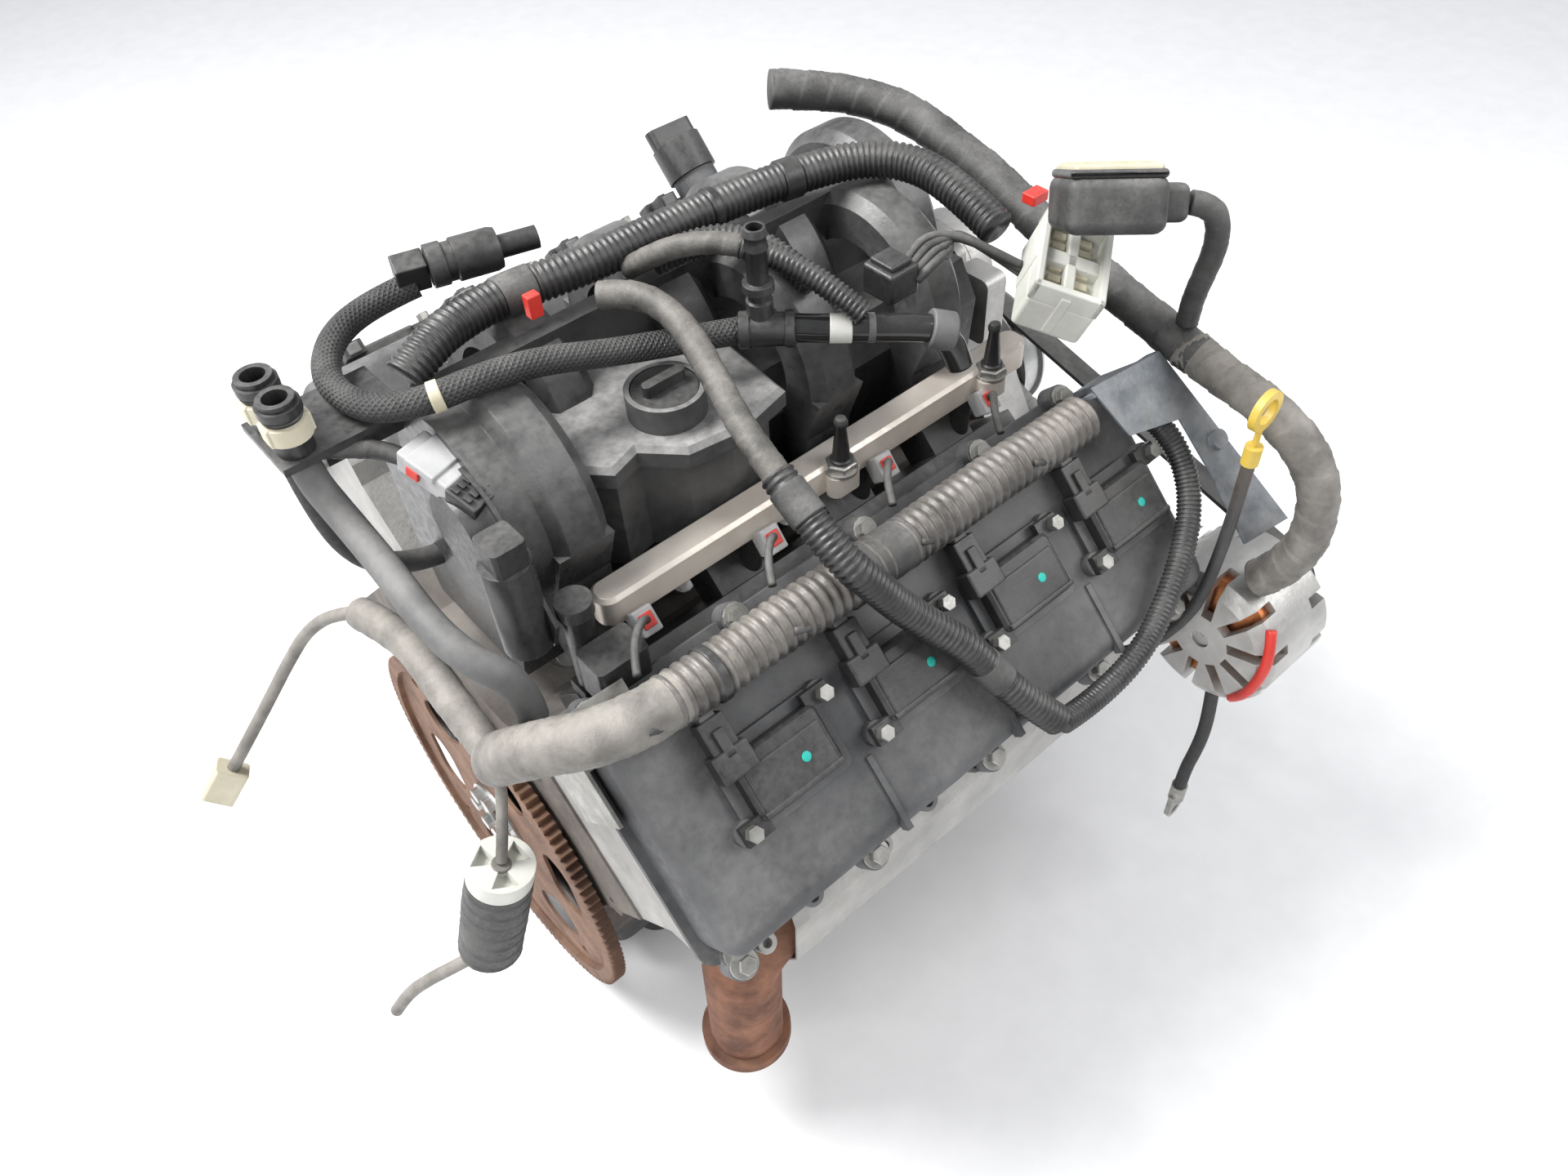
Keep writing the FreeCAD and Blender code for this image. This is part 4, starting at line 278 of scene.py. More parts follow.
def pointing(place, way):
    """A matrix that stands a local Z axis on a place, in millimetres, pointing along way."""
    turn = Vector((0.0, 0.0, 1.0)).rotation_difference(Vector(way).normalized()).to_matrix().to_4x4()
    return Matrix.Translation(Vector(place) * MM) @ turn


# ---- materials ----
def noise_node(tree, scale, detail=6.0, rough=0.6, vector=None):
    """Adds a noise texture and gives its value."""
    node = tree.nodes.new("ShaderNodeTexNoise")
    node.inputs["Scale"].default_value = scale
    node.inputs["Detail"].default_value = detail
    node.inputs["Roughness"].default_value = rough
    if vector is not None:
        tree.links.new(vector, node.inputs["Vector"])
    return node.outputs["Fac"]


def ramp_node(tree, value, low, high, start=0.0, end=1.0):
    """Maps value from low..high to start..end, clamped."""
    node = tree.nodes.new("ShaderNodeMapRange")
    node.inputs["From Min"].default_value = low
    node.inputs["From Max"].default_value = high
    node.inputs["To Min"].default_value = start
    node.inputs["To Max"].default_value = end
    tree.links.new(value, node.inputs["Value"])
    return node.outputs["Result"]


def maths(tree, kind, a, b):
    """Adds a maths node on two numbers or sockets and gives its value."""
    node = tree.nodes.new("ShaderNodeMath")
    node.operation = kind
    for socket, value in zip(node.inputs, (a, b)):
        if isinstance(value, (int, float)):
            socket.default_value = value
        else:
            tree.links.new(value, socket)
    return node.outputs[0]


def mix_colour(tree, factor, a, b):
    """Adds a mix of two colours or sockets and gives its colour."""
    node = tree.nodes.new("ShaderNodeMix")
    node.data_type = "RGBA"
    sockets = [s for s in node.inputs if s.name in ("A", "B") and s.type == "RGBA"]
    for socket, value in zip(sockets, (a, b)):
        if isinstance(value, tuple):
            socket.default_value = (*value, 1.0)
        else:
            tree.links.new(value, socket)
    factor_socket = next(s for s in node.inputs if s.name == "Factor" and s.type == "VALUE")
    tree.links.new(factor, factor_socket)
    return next(s for s in node.outputs if s.type == "RGBA")


def surface(name, dark, light, rough=(0.45, 0.7), metallic=0.0, dust=0.5, dust_colour=PALE_DUST, scale=22.0,
            bump=0.25, grain=420.0, wear=0.0, wear_colour=(0.6, 0.6, 0.58), relief=None, coat=0.0):
    """A used surface: two tones in patches, dust on what faces up, worn edges and fine grain."""
    material = bpy.data.materials.new(name)
    material.use_nodes = True
    tree = material.node_tree
    tree.nodes.clear()
    output = tree.nodes.new("ShaderNodeOutputMaterial")
    shader = tree.nodes.new("ShaderNodeBsdfPrincipled")
    tree.links.new(shader.outputs["BSDF"], output.inputs["Surface"])
    shader.inputs["Metallic"].default_value = metallic
    shader.inputs["Coat Weight"].default_value = coat
    coordinates = tree.nodes.new("ShaderNodeTexCoord")
    place = coordinates.outputs["Object"]
    patches = ramp_node(tree, noise_node(tree, scale, vector=place), *PATCH_EDGES)
    specks = noise_node(tree, scale * 9, vector=place)
    colour = mix_colour(tree, patches, dark, light)
    geometry = tree.nodes.new("ShaderNodeNewGeometry")
    if wear > 0.0:
        edge = ramp_node(tree, geometry.outputs["Pointiness"], *WEAR_EDGES, 0.0, wear)
        colour = mix_colour(tree, maths(tree, "MULTIPLY", edge, specks), colour, wear_colour)
    split = tree.nodes.new("ShaderNodeSeparateXYZ")
    tree.links.new(coordinates.outputs["Normal"], split.inputs[0])
    facing = ramp_node(tree, split.outputs["Z"], *FACING_EDGES)
    settled = ramp_node(tree, noise_node(tree, scale * 0.6, vector=place), *SETTLED_EDGES, 0.25, 1.0)
    amount = maths(tree, "MULTIPLY", maths(tree, "MULTIPLY", facing, settled), dust)
    amount = maths(tree, "MULTIPLY", amount, ramp_node(tree, specks, 0.3, 0.62, 0.55, 1.0))
    colour = mix_colour(tree, amount, colour, dust_colour)
    tree.links.new(colour, shader.inputs["Base Color"])
    dulled = maths(tree, "MULTIPLY", amount, 0.3)
    gloss = maths(tree, "ADD", ramp_node(tree, specks, *SPECK_EDGES, *rough), dulled)
    tree.links.new(gloss, shader.inputs["Roughness"])
    fine = noise_node(tree, grain, detail=3.0, vector=place)
    if relief is not None:
        fine = maths(tree, "ADD", fine, relief(tree))
    soft = tree.nodes.new("ShaderNodeBevel")
    soft.samples = 4
    soft.inputs["Radius"].default_value = EDGE_ROUNDING
    normal = tree.nodes.new("ShaderNodeBump")
    tree.links.new(soft.outputs["Normal"], normal.inputs["Normal"])
    normal.inputs["Strength"].default_value = bump
    normal.inputs["Distance"].default_value = GRAIN_DEPTH
    tree.links.new(fine, normal.inputs["Height"])
    tree.links.new(normal.outputs["Normal"], shader.inputs["Normal"])
    return material


def braid_relief(tree):
    """Crossed strands, from the UV map of a swept hose."""
    coordinates = tree.nodes.new("ShaderNodeTexCoord")
    split = tree.nodes.new("ShaderNodeSeparateXYZ")
    tree.links.new(coordinates.outputs["UV"], split.inputs[0])
    turn = maths(tree, "MULTIPLY", split.outputs["X"], BRAID_STRANDS * 2 * math.pi)
    along = maths(tree, "MULTIPLY", split.outputs["Y"], BRAID_LAY)
    left = maths(tree, "SINE", maths(tree, "ADD", turn, along), 0.0)
    right = maths(tree, "SINE", maths(tree, "SUBTRACT", turn, along), 0.0)
    return maths(tree, "MULTIPLY", maths(tree, "MAXIMUM", left, right), 1.2)


def make_materials():
    """Every surface by name: its dark and light tone, roughness, metal share, dust and the dust's colour."""
    return {
        "iron": surface("iron", (0.10, 0.085, 0.075), (0.22, 0.19, 0.165), (0.6, 0.85), 0.3, 0.5, DUSTY,
                        bump=0.5),
        "head_alloy": surface("head_alloy", (0.30, 0.29, 0.275), (0.50, 0.49, 0.465), (0.45, 0.7), 0.55, 0.5,
                              DUSTY, bump=0.45, wear=0.6),
        "alloy": surface("alloy", (0.42, 0.41, 0.39), (0.60, 0.59, 0.57), (0.35, 0.6), 0.75, 0.35, DUSTY,
                         bump=0.35, wear=0.6, wear_colour=(0.8, 0.8, 0.78)),
        "steel": surface("steel", (0.45, 0.45, 0.44), (0.62, 0.62, 0.61), (0.25, 0.45), 1.0, 0.1, DUSTY,
                         bump=0.1),
        "zinc": surface("zinc", (0.30, 0.295, 0.27), (0.52, 0.51, 0.48), (0.3, 0.55), 0.85, 0.35, DUSTY,
                        scale=60, bump=0.15),
        "black_sheet": surface("black_sheet", (0.02, 0.02, 0.02), (0.05, 0.05, 0.05), (0.4, 0.6), 0.0, 0.4,
                               DUSTY, wear=0.5, wear_colour=(0.25, 0.18, 0.13)),
        "rust": surface("rust", (0.11, 0.045, 0.025), (0.29, 0.13, 0.075), (0.75, 0.95), 0.1, 0.3,
                        (0.34, 0.24, 0.18), scale=40, bump=0.8, grain=300),
        "plate": surface("plate", (0.12, 0.055, 0.03), (0.26, 0.145, 0.09), (0.55, 0.8), 0.35, 0.2, DUSTY,
                         scale=30, bump=0.4),
        "cover": surface("cover", (0.028, 0.029, 0.032), (0.085, 0.087, 0.09), (0.42, 0.66), 0.0, 0.6,
                         (0.30, 0.295, 0.285), scale=16, bump=0.3, wear=0.4, wear_colour=(0.3, 0.3, 0.3)),
        "intake": surface("intake", (0.010, 0.010, 0.011), (0.04, 0.04, 0.041), (0.22, 0.42), 0.0, 0.5,
                          (0.30, 0.295, 0.28), scale=14, bump=0.2, wear=0.4, wear_colour=(0.3, 0.3, 0.3)),
        "shelf": surface("shelf", (0.015, 0.015, 0.016), (0.05, 0.05, 0.05), (0.35, 0.55), 0.0, 0.95,
                         (0.50, 0.49, 0.475), scale=14, bump=0.2),
        "black": surface("black", (0.007, 0.007, 0.008), (0.02, 0.02, 0.02), (0.25, 0.45), 0.0, 0.25, DUSTY,
                         bump=0.15, wear=0.3, wear_colour=(0.15, 0.15, 0.15)),
        "gloss_black": surface("gloss_black", (0.006, 0.006, 0.006), (0.014, 0.014, 0.014), (0.08, 0.2),
                               0.0, 0.1, DUSTY, bump=0.03, coat=0.5),
        "rubber": surface("rubber", (0.02, 0.02, 0.02), (0.045, 0.045, 0.045), (0.55, 0.8), 0.0, 0.4, DUSTY),
        "grey_rubber": surface("grey_rubber", (0.07, 0.07, 0.07), (0.13, 0.13, 0.13), (0.5, 0.7), 0.0, 0.5,
                               DUSTY),
        "braid": surface("braid", (0.012, 0.012, 0.013), (0.045, 0.045, 0.045), (0.5, 0.7), 0.0, 0.3, DUSTY,
                         bump=0.9, relief=braid_relief),
        "tube": surface("tube", (0.007, 0.007, 0.008), (0.024, 0.024, 0.025), (0.26, 0.42), 0.0, 0.3, DUSTY,
                        scale=30),
        "grey_tube": surface("grey_tube", (0.05, 0.048, 0.045), (0.17, 0.16, 0.148), (0.28, 0.45), 0.15, 0.7,
                             (0.38, 0.345, 0.305), scale=26, bump=0.3),
        "tape": surface("tape", (0.11, 0.104, 0.095), (0.27, 0.255, 0.23), (0.4, 0.65), 0.1, 0.6,
                        (0.44, 0.405, 0.36), scale=40, bump=0.6, grain=900),
        "grey_tape": surface("grey_tape", (0.035, 0.034, 0.032), (0.13, 0.125, 0.115), (0.4, 0.6), 0.0, 0.5,
                             (0.34, 0.315, 0.28), scale=50, bump=0.5, grain=800),
        "black_tape": surface("black_tape", (0.02, 0.02, 0.02), (0.06, 0.06, 0.058), (0.4, 0.7), 0.0, 0.45,
                              DUSTY, scale=40, bump=0.5, grain=800),
        "rail": surface("rail", (0.66, 0.58, 0.50), (0.80, 0.74, 0.66), (0.28, 0.42), 0.35, 0.25,
                        (0.66, 0.63, 0.58), bump=0.15, wear=0.3, wear_colour=(0.8, 0.76, 0.7)),
        "milky": surface("milky", (0.58, 0.58, 0.52), (0.72, 0.72, 0.67), (0.3, 0.45), 0.0, 0.25,
                         (0.5, 0.48, 0.42)),
        "cream": surface("cream", (0.55, 0.50, 0.36), (0.70, 0.66, 0.52), (0.4, 0.6), 0.0, 0.3,
                         (0.42, 0.38, 0.3)),
        "grey_plastic": surface("grey_plastic", (0.36, 0.36, 0.36), (0.50, 0.50, 0.50), (0.35, 0.5), 0.0,
                                0.3, DUSTY),
        "red_plastic": surface("red_plastic", (0.55, 0.02, 0.015), (0.75, 0.05, 0.03), (0.3, 0.45), 0.0,
                               0.1, DUSTY),
        "green_plastic": surface("green_plastic", (0.0, 0.22, 0.10), (0.0, 0.38, 0.18), (0.3, 0.45), 0.0,
                                 0.1, DUSTY),
        "shield": surface("shield", (0.10, 0.115, 0.13), (0.24, 0.26, 0.285), (0.45, 0.65), 0.4, 0.6,
                          (0.42, 0.41, 0.39), scale=60, bump=0.4),
        "copper": surface("copper", (0.42, 0.14, 0.05), (0.66, 0.28, 0.12), (0.25, 0.45), 0.9, 0.1, DUSTY,
                          grain=900),
        "yellow": surface("yellow", (0.62, 0.42, 0.05), (0.78, 0.56, 0.10), (0.35, 0.5), 0.0, 0.2, DUSTY),
        "cyan_paint": surface("cyan_paint", (0.0, 0.42, 0.34), (0.02, 0.55, 0.46), (0.5, 0.7), 0.0, 0.1,
                              DUSTY),
    }


MATERIALS = make_materials()
NODE_MATERIALS = {
    "cylinder_block": "iron", "main_bearing_caps": "iron", "oil_pan": "black_sheet", "crankshaft": "steel",
    "pistons": "alloy", "connecting_rods": "steel", "camshaft": "steel", "crank_sprocket": "steel",
    "cam_sprocket": "steel", "timing_chain": "steel", "cylinder_head_right": "head_alloy",
    "cylinder_head_left": "head_alloy", "engine_valves": "steel", "lifters_and_rockers": "steel",
    "valve_cover_right": "cover", "valve_cover_left": "cover", "cover_bolts": "zinc",
    "ignition_coils": "black", "wire_connectors": "black", "intake_manifold": "intake",
    "plenum_cover": "shelf", "plenum_cap": "black", "throttle_body": "alloy", "throttle_plate": "steel",
    "tuning_valve": "black", "fuel_rails": "rail", "fuel_injectors": "black",
    "exhaust_manifold_right": "rust", "exhaust_manifold_left": "rust", "heat_shield": "head_alloy",
    "timing_cover": "alloy", "crank_damper": "steel", "water_pump": "alloy", "water_pump_pulley": "steel",
    "idler_pulley": "black", "tensioner_arm": "alloy", "tensioner_pulley": "black",
    "accessory_belt": "rubber", "alternator_housing": "alloy", "alternator_rotor": "steel",
    "brackets": "zinc", "oil_filter": "black_sheet", "flexplate": "plate", "flexplate_bolts": "steel",
    "oil_filler_cap": "black", "dipstick_tube": "black_sheet", "dipstick": "yellow",
    "pipe_couplings": "black", "capped_post": "black", "front_shield": "shield", "taped_looms": "tape",
    "black_looms": "tube", "hoses": "rubber", "left_lead": "tape", "left_plug": "cream",
    "barrel_lead": "tape", "barrel_plug": "milky", "barrel_tail": "tape", "battery_cable": "rubber",
    "cable_lug": "zinc",
}


def dress_nodes():
    """Gives each node of the CAD model its surface."""
    for node, name in NODE_MATERIALS.items():
        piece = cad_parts[node]
        if not piece.material_slots:
            piece.data.materials.append(MATERIALS[name])
        for slot in piece.material_slots:
            slot.material = MATERIALS[name]


# ---- held looms and hoses ----
MAIN_LOOM = [(-41, -165, 300), (-36, -200, 340)] + [
    bank_point(x, w, u) for x, w, u in (
        (6, 84, 432.3), (60, 80, MAIN_RUN_U), (150, 81, MAIN_RUN_U), (240, 79, MAIN_RUN_U),
        (330, 81, MAIN_RUN_U), (384, 80, MAIN_RUN_U), (432, 80, MAIN_RUN_U))]
REAR_LOOM = [(-41, -165, 300), (-42, -122, 312), (-38, -72, 318), (-40, -34, 316), (-46, 12, 302)]
FRONT_HARNESS = [
    (450, 120, 484), (494, 92, 478), (528, 48, 466), (535, -6, 452), (532, -60, 440), (528, -112, 424),
    (528, -168, 406), (530, -228, 388), (528, -288, 376), (530, -340, 366), (534, -384, 336),
    (536, -398, 288), (532, -392, 240), (528, -372, 212)]
CROSSING_LOOM = [
    (176, -22, 481), (192, -40, 485), (199, -74, 482), (192, -112, 471), (180, -160, 452),
    (173, -208, 436)] + [
    bank_point(x, w, u) for x, w, u in (
        (176, 98, 470), (190, 76, 462), (207, 50, 448), (226, 22, 442), (243, -4, 440), (256, -30, 428),
        (270, -62, 426), (290, -92, 419))]
FRONT_LOOM = [
    bank_point(x, w, u) for x, w, u in (
        (294.5, -97, 417), (330, -104, 410), (388, -95, 419), (440, -62, 429), (482, -26, 432),
        (499, 12, 431), (494, 52, 428), (470, 78, 427))]
TOP_LOOM = [
    (38, 2, 474), (62, 8, TOP_RUN_Z), (92, 18, TOP_RUN_Z), (132, 21, TOP_RUN_Z), (180, 12, TOP_RUN_Z),
    (250, 10, TOP_RUN_Z), (320, 6, TOP_RUN_Z), (376, -3, TOP_RUN_Z), (420, -16, TOP_RUN_Z),
    (446, -48, TOP_RUN_Z), (448, -92, 480), (442, -140, 468)]
BRANCH_LOOM = [(226, -17, 483), (256, -21, 486), (284, -40, 487), (298, -70, 479), (301, -98, 466)]
PALE_LEAD = [(452, -185.6, 424.6), (455, -176, 406), (470, -170, 392), (492, -173, 388), (509, -184, 393)]
DARK_LEAD = [
    (513.6, -247.7, 502), (524, -258, 499), (531, -263, 485), (534, -263, 463), (532, -260, 440),
    (530, -257, 419), (530, -257, 400.5)]
HEATER_HOSE = [
    (-42, 2, 462), (-42, 2, 438), (-38, -16, 418), (-36, -66, 402), (-38, -122, 391), (-32, -156, 384),
    (-12, -172, 360), (-12, -172, 328)]
HEATER_PIPE = [(-42, 33, 462), (-42, 33, 400), (-30, 36, 330), (4, 38, 296), (31, 38, 290)]
BREATHER_HOSE = [
    (88, 68, 490), (58, 76, 485), (24, 70, 480), (2, 46, 474), (-2, 16, 473), (6, -16, 475), (32, -38, 480),
    (72, -46, 483), (112, -50, 476), (158, -56, 461), (208, -70, 453), (256, -94, 452)]
BREATHER_PIPE = [(256, -94, 452), (282, -122, 451), (332, -160, 447), (356, -176, 441), (362, -184, 412)]


def stretch(line, start, end):
    """The part of a line between two shares of its length."""
    last = len(line) - 1
    return line[int(start * last):int(end * last) + 1]


def make_taped_looms():
    """The main loom's taped and ribbed runs, the rear loom and the front harness."""
    main = route_line(MAIN_LOOM, TAPE_STEP)
    harness = route_line(FRONT_HARNESS, TAPE_STEP)
    pieces = [
        sweep("main_loom_taped_rear", stretch(main, 0.0, 0.30), taped(18.6), MATERIALS["tape"], 28),
        sweep("main_loom_ribbed", stretch(main, 0.28, 0.62), corrugated(18.8, 8.0, 2.2),
              MATERIALS["grey_tube"], 28),
        sweep("main_loom_band", stretch(main, 0.58, 0.66), taped(19.0, 12.0, 0.7), MATERIALS["black_tape"],
              28),
        sweep("main_loom_front", stretch(main, 0.65, 1.0), corrugated(18.8, 8.0, 2.2),
              MATERIALS["grey_tube"], 28),
        sweep("rear_loom", route_line(REAR_LOOM, HOSE_STEP), taped(13.0, 20.0, 1.2, 2.0), MATERIALS["tape"],
              22),
        sweep("front_harness", stretch(harness, 0.0, 0.64), taped(17.0, 24.0, 1.8, 4.0),
              MATERIALS["black_tape"], 26),
        sweep("front_harness_low", stretch(harness, 0.62, 1.0), taped(17.2, 19.0, 2.2, 4.0),
              MATERIALS["tape"], 26),
    ]
    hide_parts("taped_looms")


def make_black_looms():
    """The crossing, front, top and branch looms, and the leads of the two big plugs."""
    crossing = route_line(CROSSING_LOOM, RIB_STEP)
    top = route_line(TOP_LOOM, RIB_STEP)
    pieces = [
        sweep("crossing_loom_taped", stretch(crossing, 0.0, 0.42), taped(10.5, 15.0, 1.2),
              MATERIALS["grey_tape"], 20),
        sweep("crossing_loom_ribbed", stretch(crossing, 0.40, 1.0), corrugated(12.0), MATERIALS["tube"], 22),
        sweep("front_loom", route_line(FRONT_LOOM, RIB_STEP), corrugated(9.5, 3.6, 1.1), MATERIALS["tube"],
              18),
        sweep("top_loom", top, corrugated(14.0, 5.0, 1.5), MATERIALS["tube"], 24),
        sweep("branch_loom", route_line(BRANCH_LOOM, RIB_STEP), corrugated(10.5), MATERIALS["tube"], 18),
        sweep("pale_plug_lead", route_line(PALE_LEAD, HOSE_STEP), taped(8.0, 14.0, 0.8),
              MATERIALS["black_tape"], 16),
        sweep("dark_plug_lead", route_line(DARK_LEAD, HOSE_STEP), taped(9.0, 14.0, 0.8),
              MATERIALS["black_tape"], 16),
    ]
    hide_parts("black_looms")


def make_hoses():
    """The heater hose and pipe, the braided breather with its tee, and the purge valve."""
    valve_way = (50, -14, 0)
    pieces = [
        sweep("heater_hose", route_line(HEATER_HOSE, HOSE_STEP), smooth_tube(10.5),
              MATERIALS["grey_rubber"], 22),
        sweep("heater_pipe", route_line(HEATER_PIPE, HOSE_STEP), smooth_tube(8.5), MATERIALS["rubber"], 20),
        sweep("breather_hose", route_line(BREATHER_HOSE, HOSE_STEP), smooth_tube(9.5), MATERIALS["braid"],
              22),
        sweep("breather_pipe", route_line(BREATHER_PIPE, HOSE_STEP), smooth_tube(10.0),
              MATERIALS["gloss_black"], 24),
        lathe("breather_tee",
              [(11, 0), (13, 1), (13, 8), (11.8, 9), (11.8, 32), (13, 33), (13, 39), (11, 40)],
              MATERIALS["black"], pointing((242, -86, 452), (36, -32, 0))),
        lathe("breather_nipple",
              [(9.5, 8), (9.5, 22), (7.6, 23), (7.5, 29), (11, 30), (11, 36), (7.5, 37), (7.5, 60),
               (8.6, 62), (7.5, 66), (7.5, 70), (8.6, 72), (7.2, 77), (5.5, 77), (5.5, 60)],
              MATERIALS["black"], pointing((256, -94, 452), (0, 0, 1))),
        lathe("breather_elbow_sleeve", [(13.0, 0), (14, 1), (14, 17), (13, 18)], MATERIALS["grey_rubber"],
              pointing((345, -168.4, 443.4), (14, -10, -5))),
        lathe("purge_valve_body",
              [(12, 0), (15, 1), (15, 12), (13.4, 13), (13.4, 18), (15, 19), (15, 46), (13.8, 50), (8, 51),
               (8, 78)], MATERIALS["black"], pointing((98, 65.6, 499), valve_way)),
        box_shell("purge_valve_plug", (-11, -9, -10), (11, 9, 12), MATERIALS["black"],
                  place=pointing((86, 69, 499), valve_way)),
    ]
    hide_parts("hoses")


# ---- plugs, clips and small fittings ----
def sweep_wire(name, points, radius, material, step=2.0, sides=10):
    """A thin bundle of wires along a route."""
    return sweep(name, route_line(points, step * MM), smooth_tube(radius), MATERIALS[material], sides)


def make_coil_dress(side, x, number):
    """One coil's latch, boot, socket, raised lid, dab of paint and wires; gives the shell of its plug."""
    place = bank_matrix(side)
    tag = f"{side}_{number}"
    black = MATERIALS["black"]
    shell = box_shell(f"coil_plug_{tag}", (x - 42, 33, 413.5), (x - 22, 58, 427), black, place=place)
    box_shell(f"coil_latch_{tag}", (x - 36, 30, 426), (x - 28, 50, 430), black, 0.8, place=place)
    box_shell(f"coil_boot_{tag}", (x - 38, 56, 415), (x - 26, 62, 425), MATERIALS["grey_rubber"], 1.5,
              place=place)
    box_shell(f"coil_socket_{tag}", (x - 46, 16, 414), (x - 18, 36, 430), black, 2.0, place=place)
    box_shell(f"coil_lid_{tag}", (x - 31, -15, 423.5), (x + 31, 17, 426.6), black, 2.2, place=place)
    box_shell(f"coil_lid_edge_{tag}", (x - 33, -17, 424), (x + 33, -13, 428), black, 1.2, place=place)
    lathe(f"coil_paint_{tag}", [(3.4, 0), (3.6, 0.3), (2.0, 0.6)], MATERIALS["cyan_paint"],
          place @ Matrix.Translation(Vector((x + 11, 1, 426.5)) * MM), 14)
    if side == "right":
        route = [bank_point(x + a, w, u) for a, w, u in (
            (-32, 60, 420), (-36, 66, 424), (-46, 68, 432), (-60, 70, 440), (-74, 76, 445))]
        sweep_wire(f"coil_wires_{tag}", route, 2.6, "black_tape")
    return shell


def make_coil_dresses():
    """Dresses all eight coils and gives their plugs."""
    return [make_coil_dress(side, x, number)
            for side in ("right", "left") for number, x in enumerate(CYLINDER_X)]


def make_big_connectors():
    """The milky bulkhead plug with its cavity, and the dark one with its honeycomb face."""
    pale = (Matrix.Translation(Vector((452, -196, 448)) * MM) @ Matrix.Rotation(math.radians(24), 4, "X")
            @ Matrix.Rotation(math.radians(38), 4, "Z"))
    dark = (Matrix.Translation(Vector((452, -222, 520.5)) * MM) @ Matrix.Rotation(math.radians(46), 4, "Z")
            @ Matrix.Rotation(math.radians(28), 4, "Y"))
    milky = MATERIALS["milky"]
    box_shell("pale_plug_base", (-36, -26, -24), (36, 26, 9), milky, 4.0, place=pale)
    for name, low, high in (
            ("pale_plug_wall_a", (-36, -26, 7), (-30.5, 26, 24)),
            ("pale_plug_wall_b", (30.5, -26, 7), (36, 26, 24)),
            ("pale_plug_wall_c", (-36, -26, 7), (36, -20.5, 24)),
            ("pale_plug_wall_d", (-36, 20.5, 7), (36, 26, 24)),
            ("pale_plug_rib", (-37.4, -4, -20), (37.4, 4, 18)),
            ("pale_plug_rib_b", (-6, -27.4, -20), (6, 27.4, 18)),
            ("pale_plug_key", (-3, -21, 9), (3, 21, 17))):
        box_shell(name, low, high, milky, 1.5, place=pale)
    for k in range(12):
        x = -25 + 10 * (k % 6)
        y = -10 if k < 6 else 10
        box_shell(f"pale_plug_cell_{k}", (x - 3, y - 5, 8), (x + 3, y + 5, 12.5), MATERIALS["cream"], 0.8,
                  place=pale)
    black = MATERIALS["black_tape"]
    box_shell("dark_plug_body", (-46, -32, -22), (46, 32, 14), black, 8.0, 4, place=dark)
    box_shell("dark_plug_neck", (18, -60, -18), (42, -30, 8), black, 6.0, 4, place=dark)
    box_shell("dark_plug_rim", (-44.5, -30.5, 12), (44.5, 30.5, 18), MATERIALS["black"], 3.0, place=dark)
    box_shell("dark_plug_face", (-42, -28, 15), (42, 28, 21.5), MATERIALS["cream"], 3.0, place=dark)
    box_shell("dark_plug_strip", (41.5, -27, 3), (47, 25, 18), MATERIALS["green_plastic"], 1.0, place=dark)
    for k in range(33):
        x = -35 + 7 * (k % 11)
        y = -17 + 17 * (k // 11)
        box_shell(f"dark_plug_cell_{k}", (x - 2.2, y - 5.5, 20.5), (x + 2.2, y + 5.5, 22.6),
                  MATERIALS["cream"], 0.7, place=dark)


def make_wire_connectors():
    """Every plug that stands for the wire_connectors node."""
    plugs = make_coil_dresses()
    make_big_connectors()
    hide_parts("wire_connectors")


def make_cover_edge():
    """The bolt bosses with their wide washers, and the open harness lugs, along each cover's outer edge."""
    for side in ("right", "left"):
        place = bank_matrix(side)
        for number, x in enumerate(COVER_BOLT_X):
            seat = place @ Matrix.Translation(Vector((x, COVER_BOLT_W, 0)) * MM)
            lathe(f"edge_boss_{side}_{number}", [(11.0, 351), (12.4, 352), (12.0, 366), (11.2, 367)],
                  MATERIALS["cover"], seat, 28)
            lathe(f"edge_washer_{side}_{number}", [(10.4, 366.8), (10.8, 367.3), (10.4, 369.2), (8.0, 369.6)],
                  MATERIALS["zinc"], seat, 28)
            lathe(f"edge_bolt_{side}_{number}", [(6.8, 369), (7.2, 369.6), (7.2, 374.6), (6.2, 375.6)],
                  MATERIALS["zinc"], seat, 6)
        for number, x in enumerate(COVER_LUG_X):
            seat = place @ Matrix.Translation(Vector((x, COVER_LUG_W, 0)) * MM)
            lathe(f"edge_lug_{side}_{number}",
                  [(3.6, 357), (3.6, 364), (6.6, 364), (7.6, 363), (7.6, 351), (6, 350)],
                  MATERIALS["head_alloy"], seat, 24)


def make_studs():
    """Dark sleeves with ball tips on zinc hexagons, over the rails' studs."""
    for side in (-1, 1):
        for number, x in enumerate(RAIL_STUD_X):
            place = pointing((x, side * RAIL_STUD_Y, RAIL_STUD_Z), (0, 0, 1))
            lathe(f"stud_sleeve_{side}_{number}",
                  [(8.5, 8), (8.5, 11), (7.0, 12), (4.2, 40), (5.2, 42), (5.4, 45), (4.0, 48), (1.5, 49)],
                  MATERIALS["black"], place, 24)
            lathe(f"stud_collar_{side}_{number}", [(12.5, -0.5), (12.8, 0.5), (12.8, 2.5), (11, 3)],
                  MATERIALS["zinc"], place, 24)
            lathe(f"stud_hex_{side}_{number}", [(11.8, 0), (12.1, 1), (12.1, 8), (11.0, 9)],
                  MATERIALS["zinc"], place, 6)


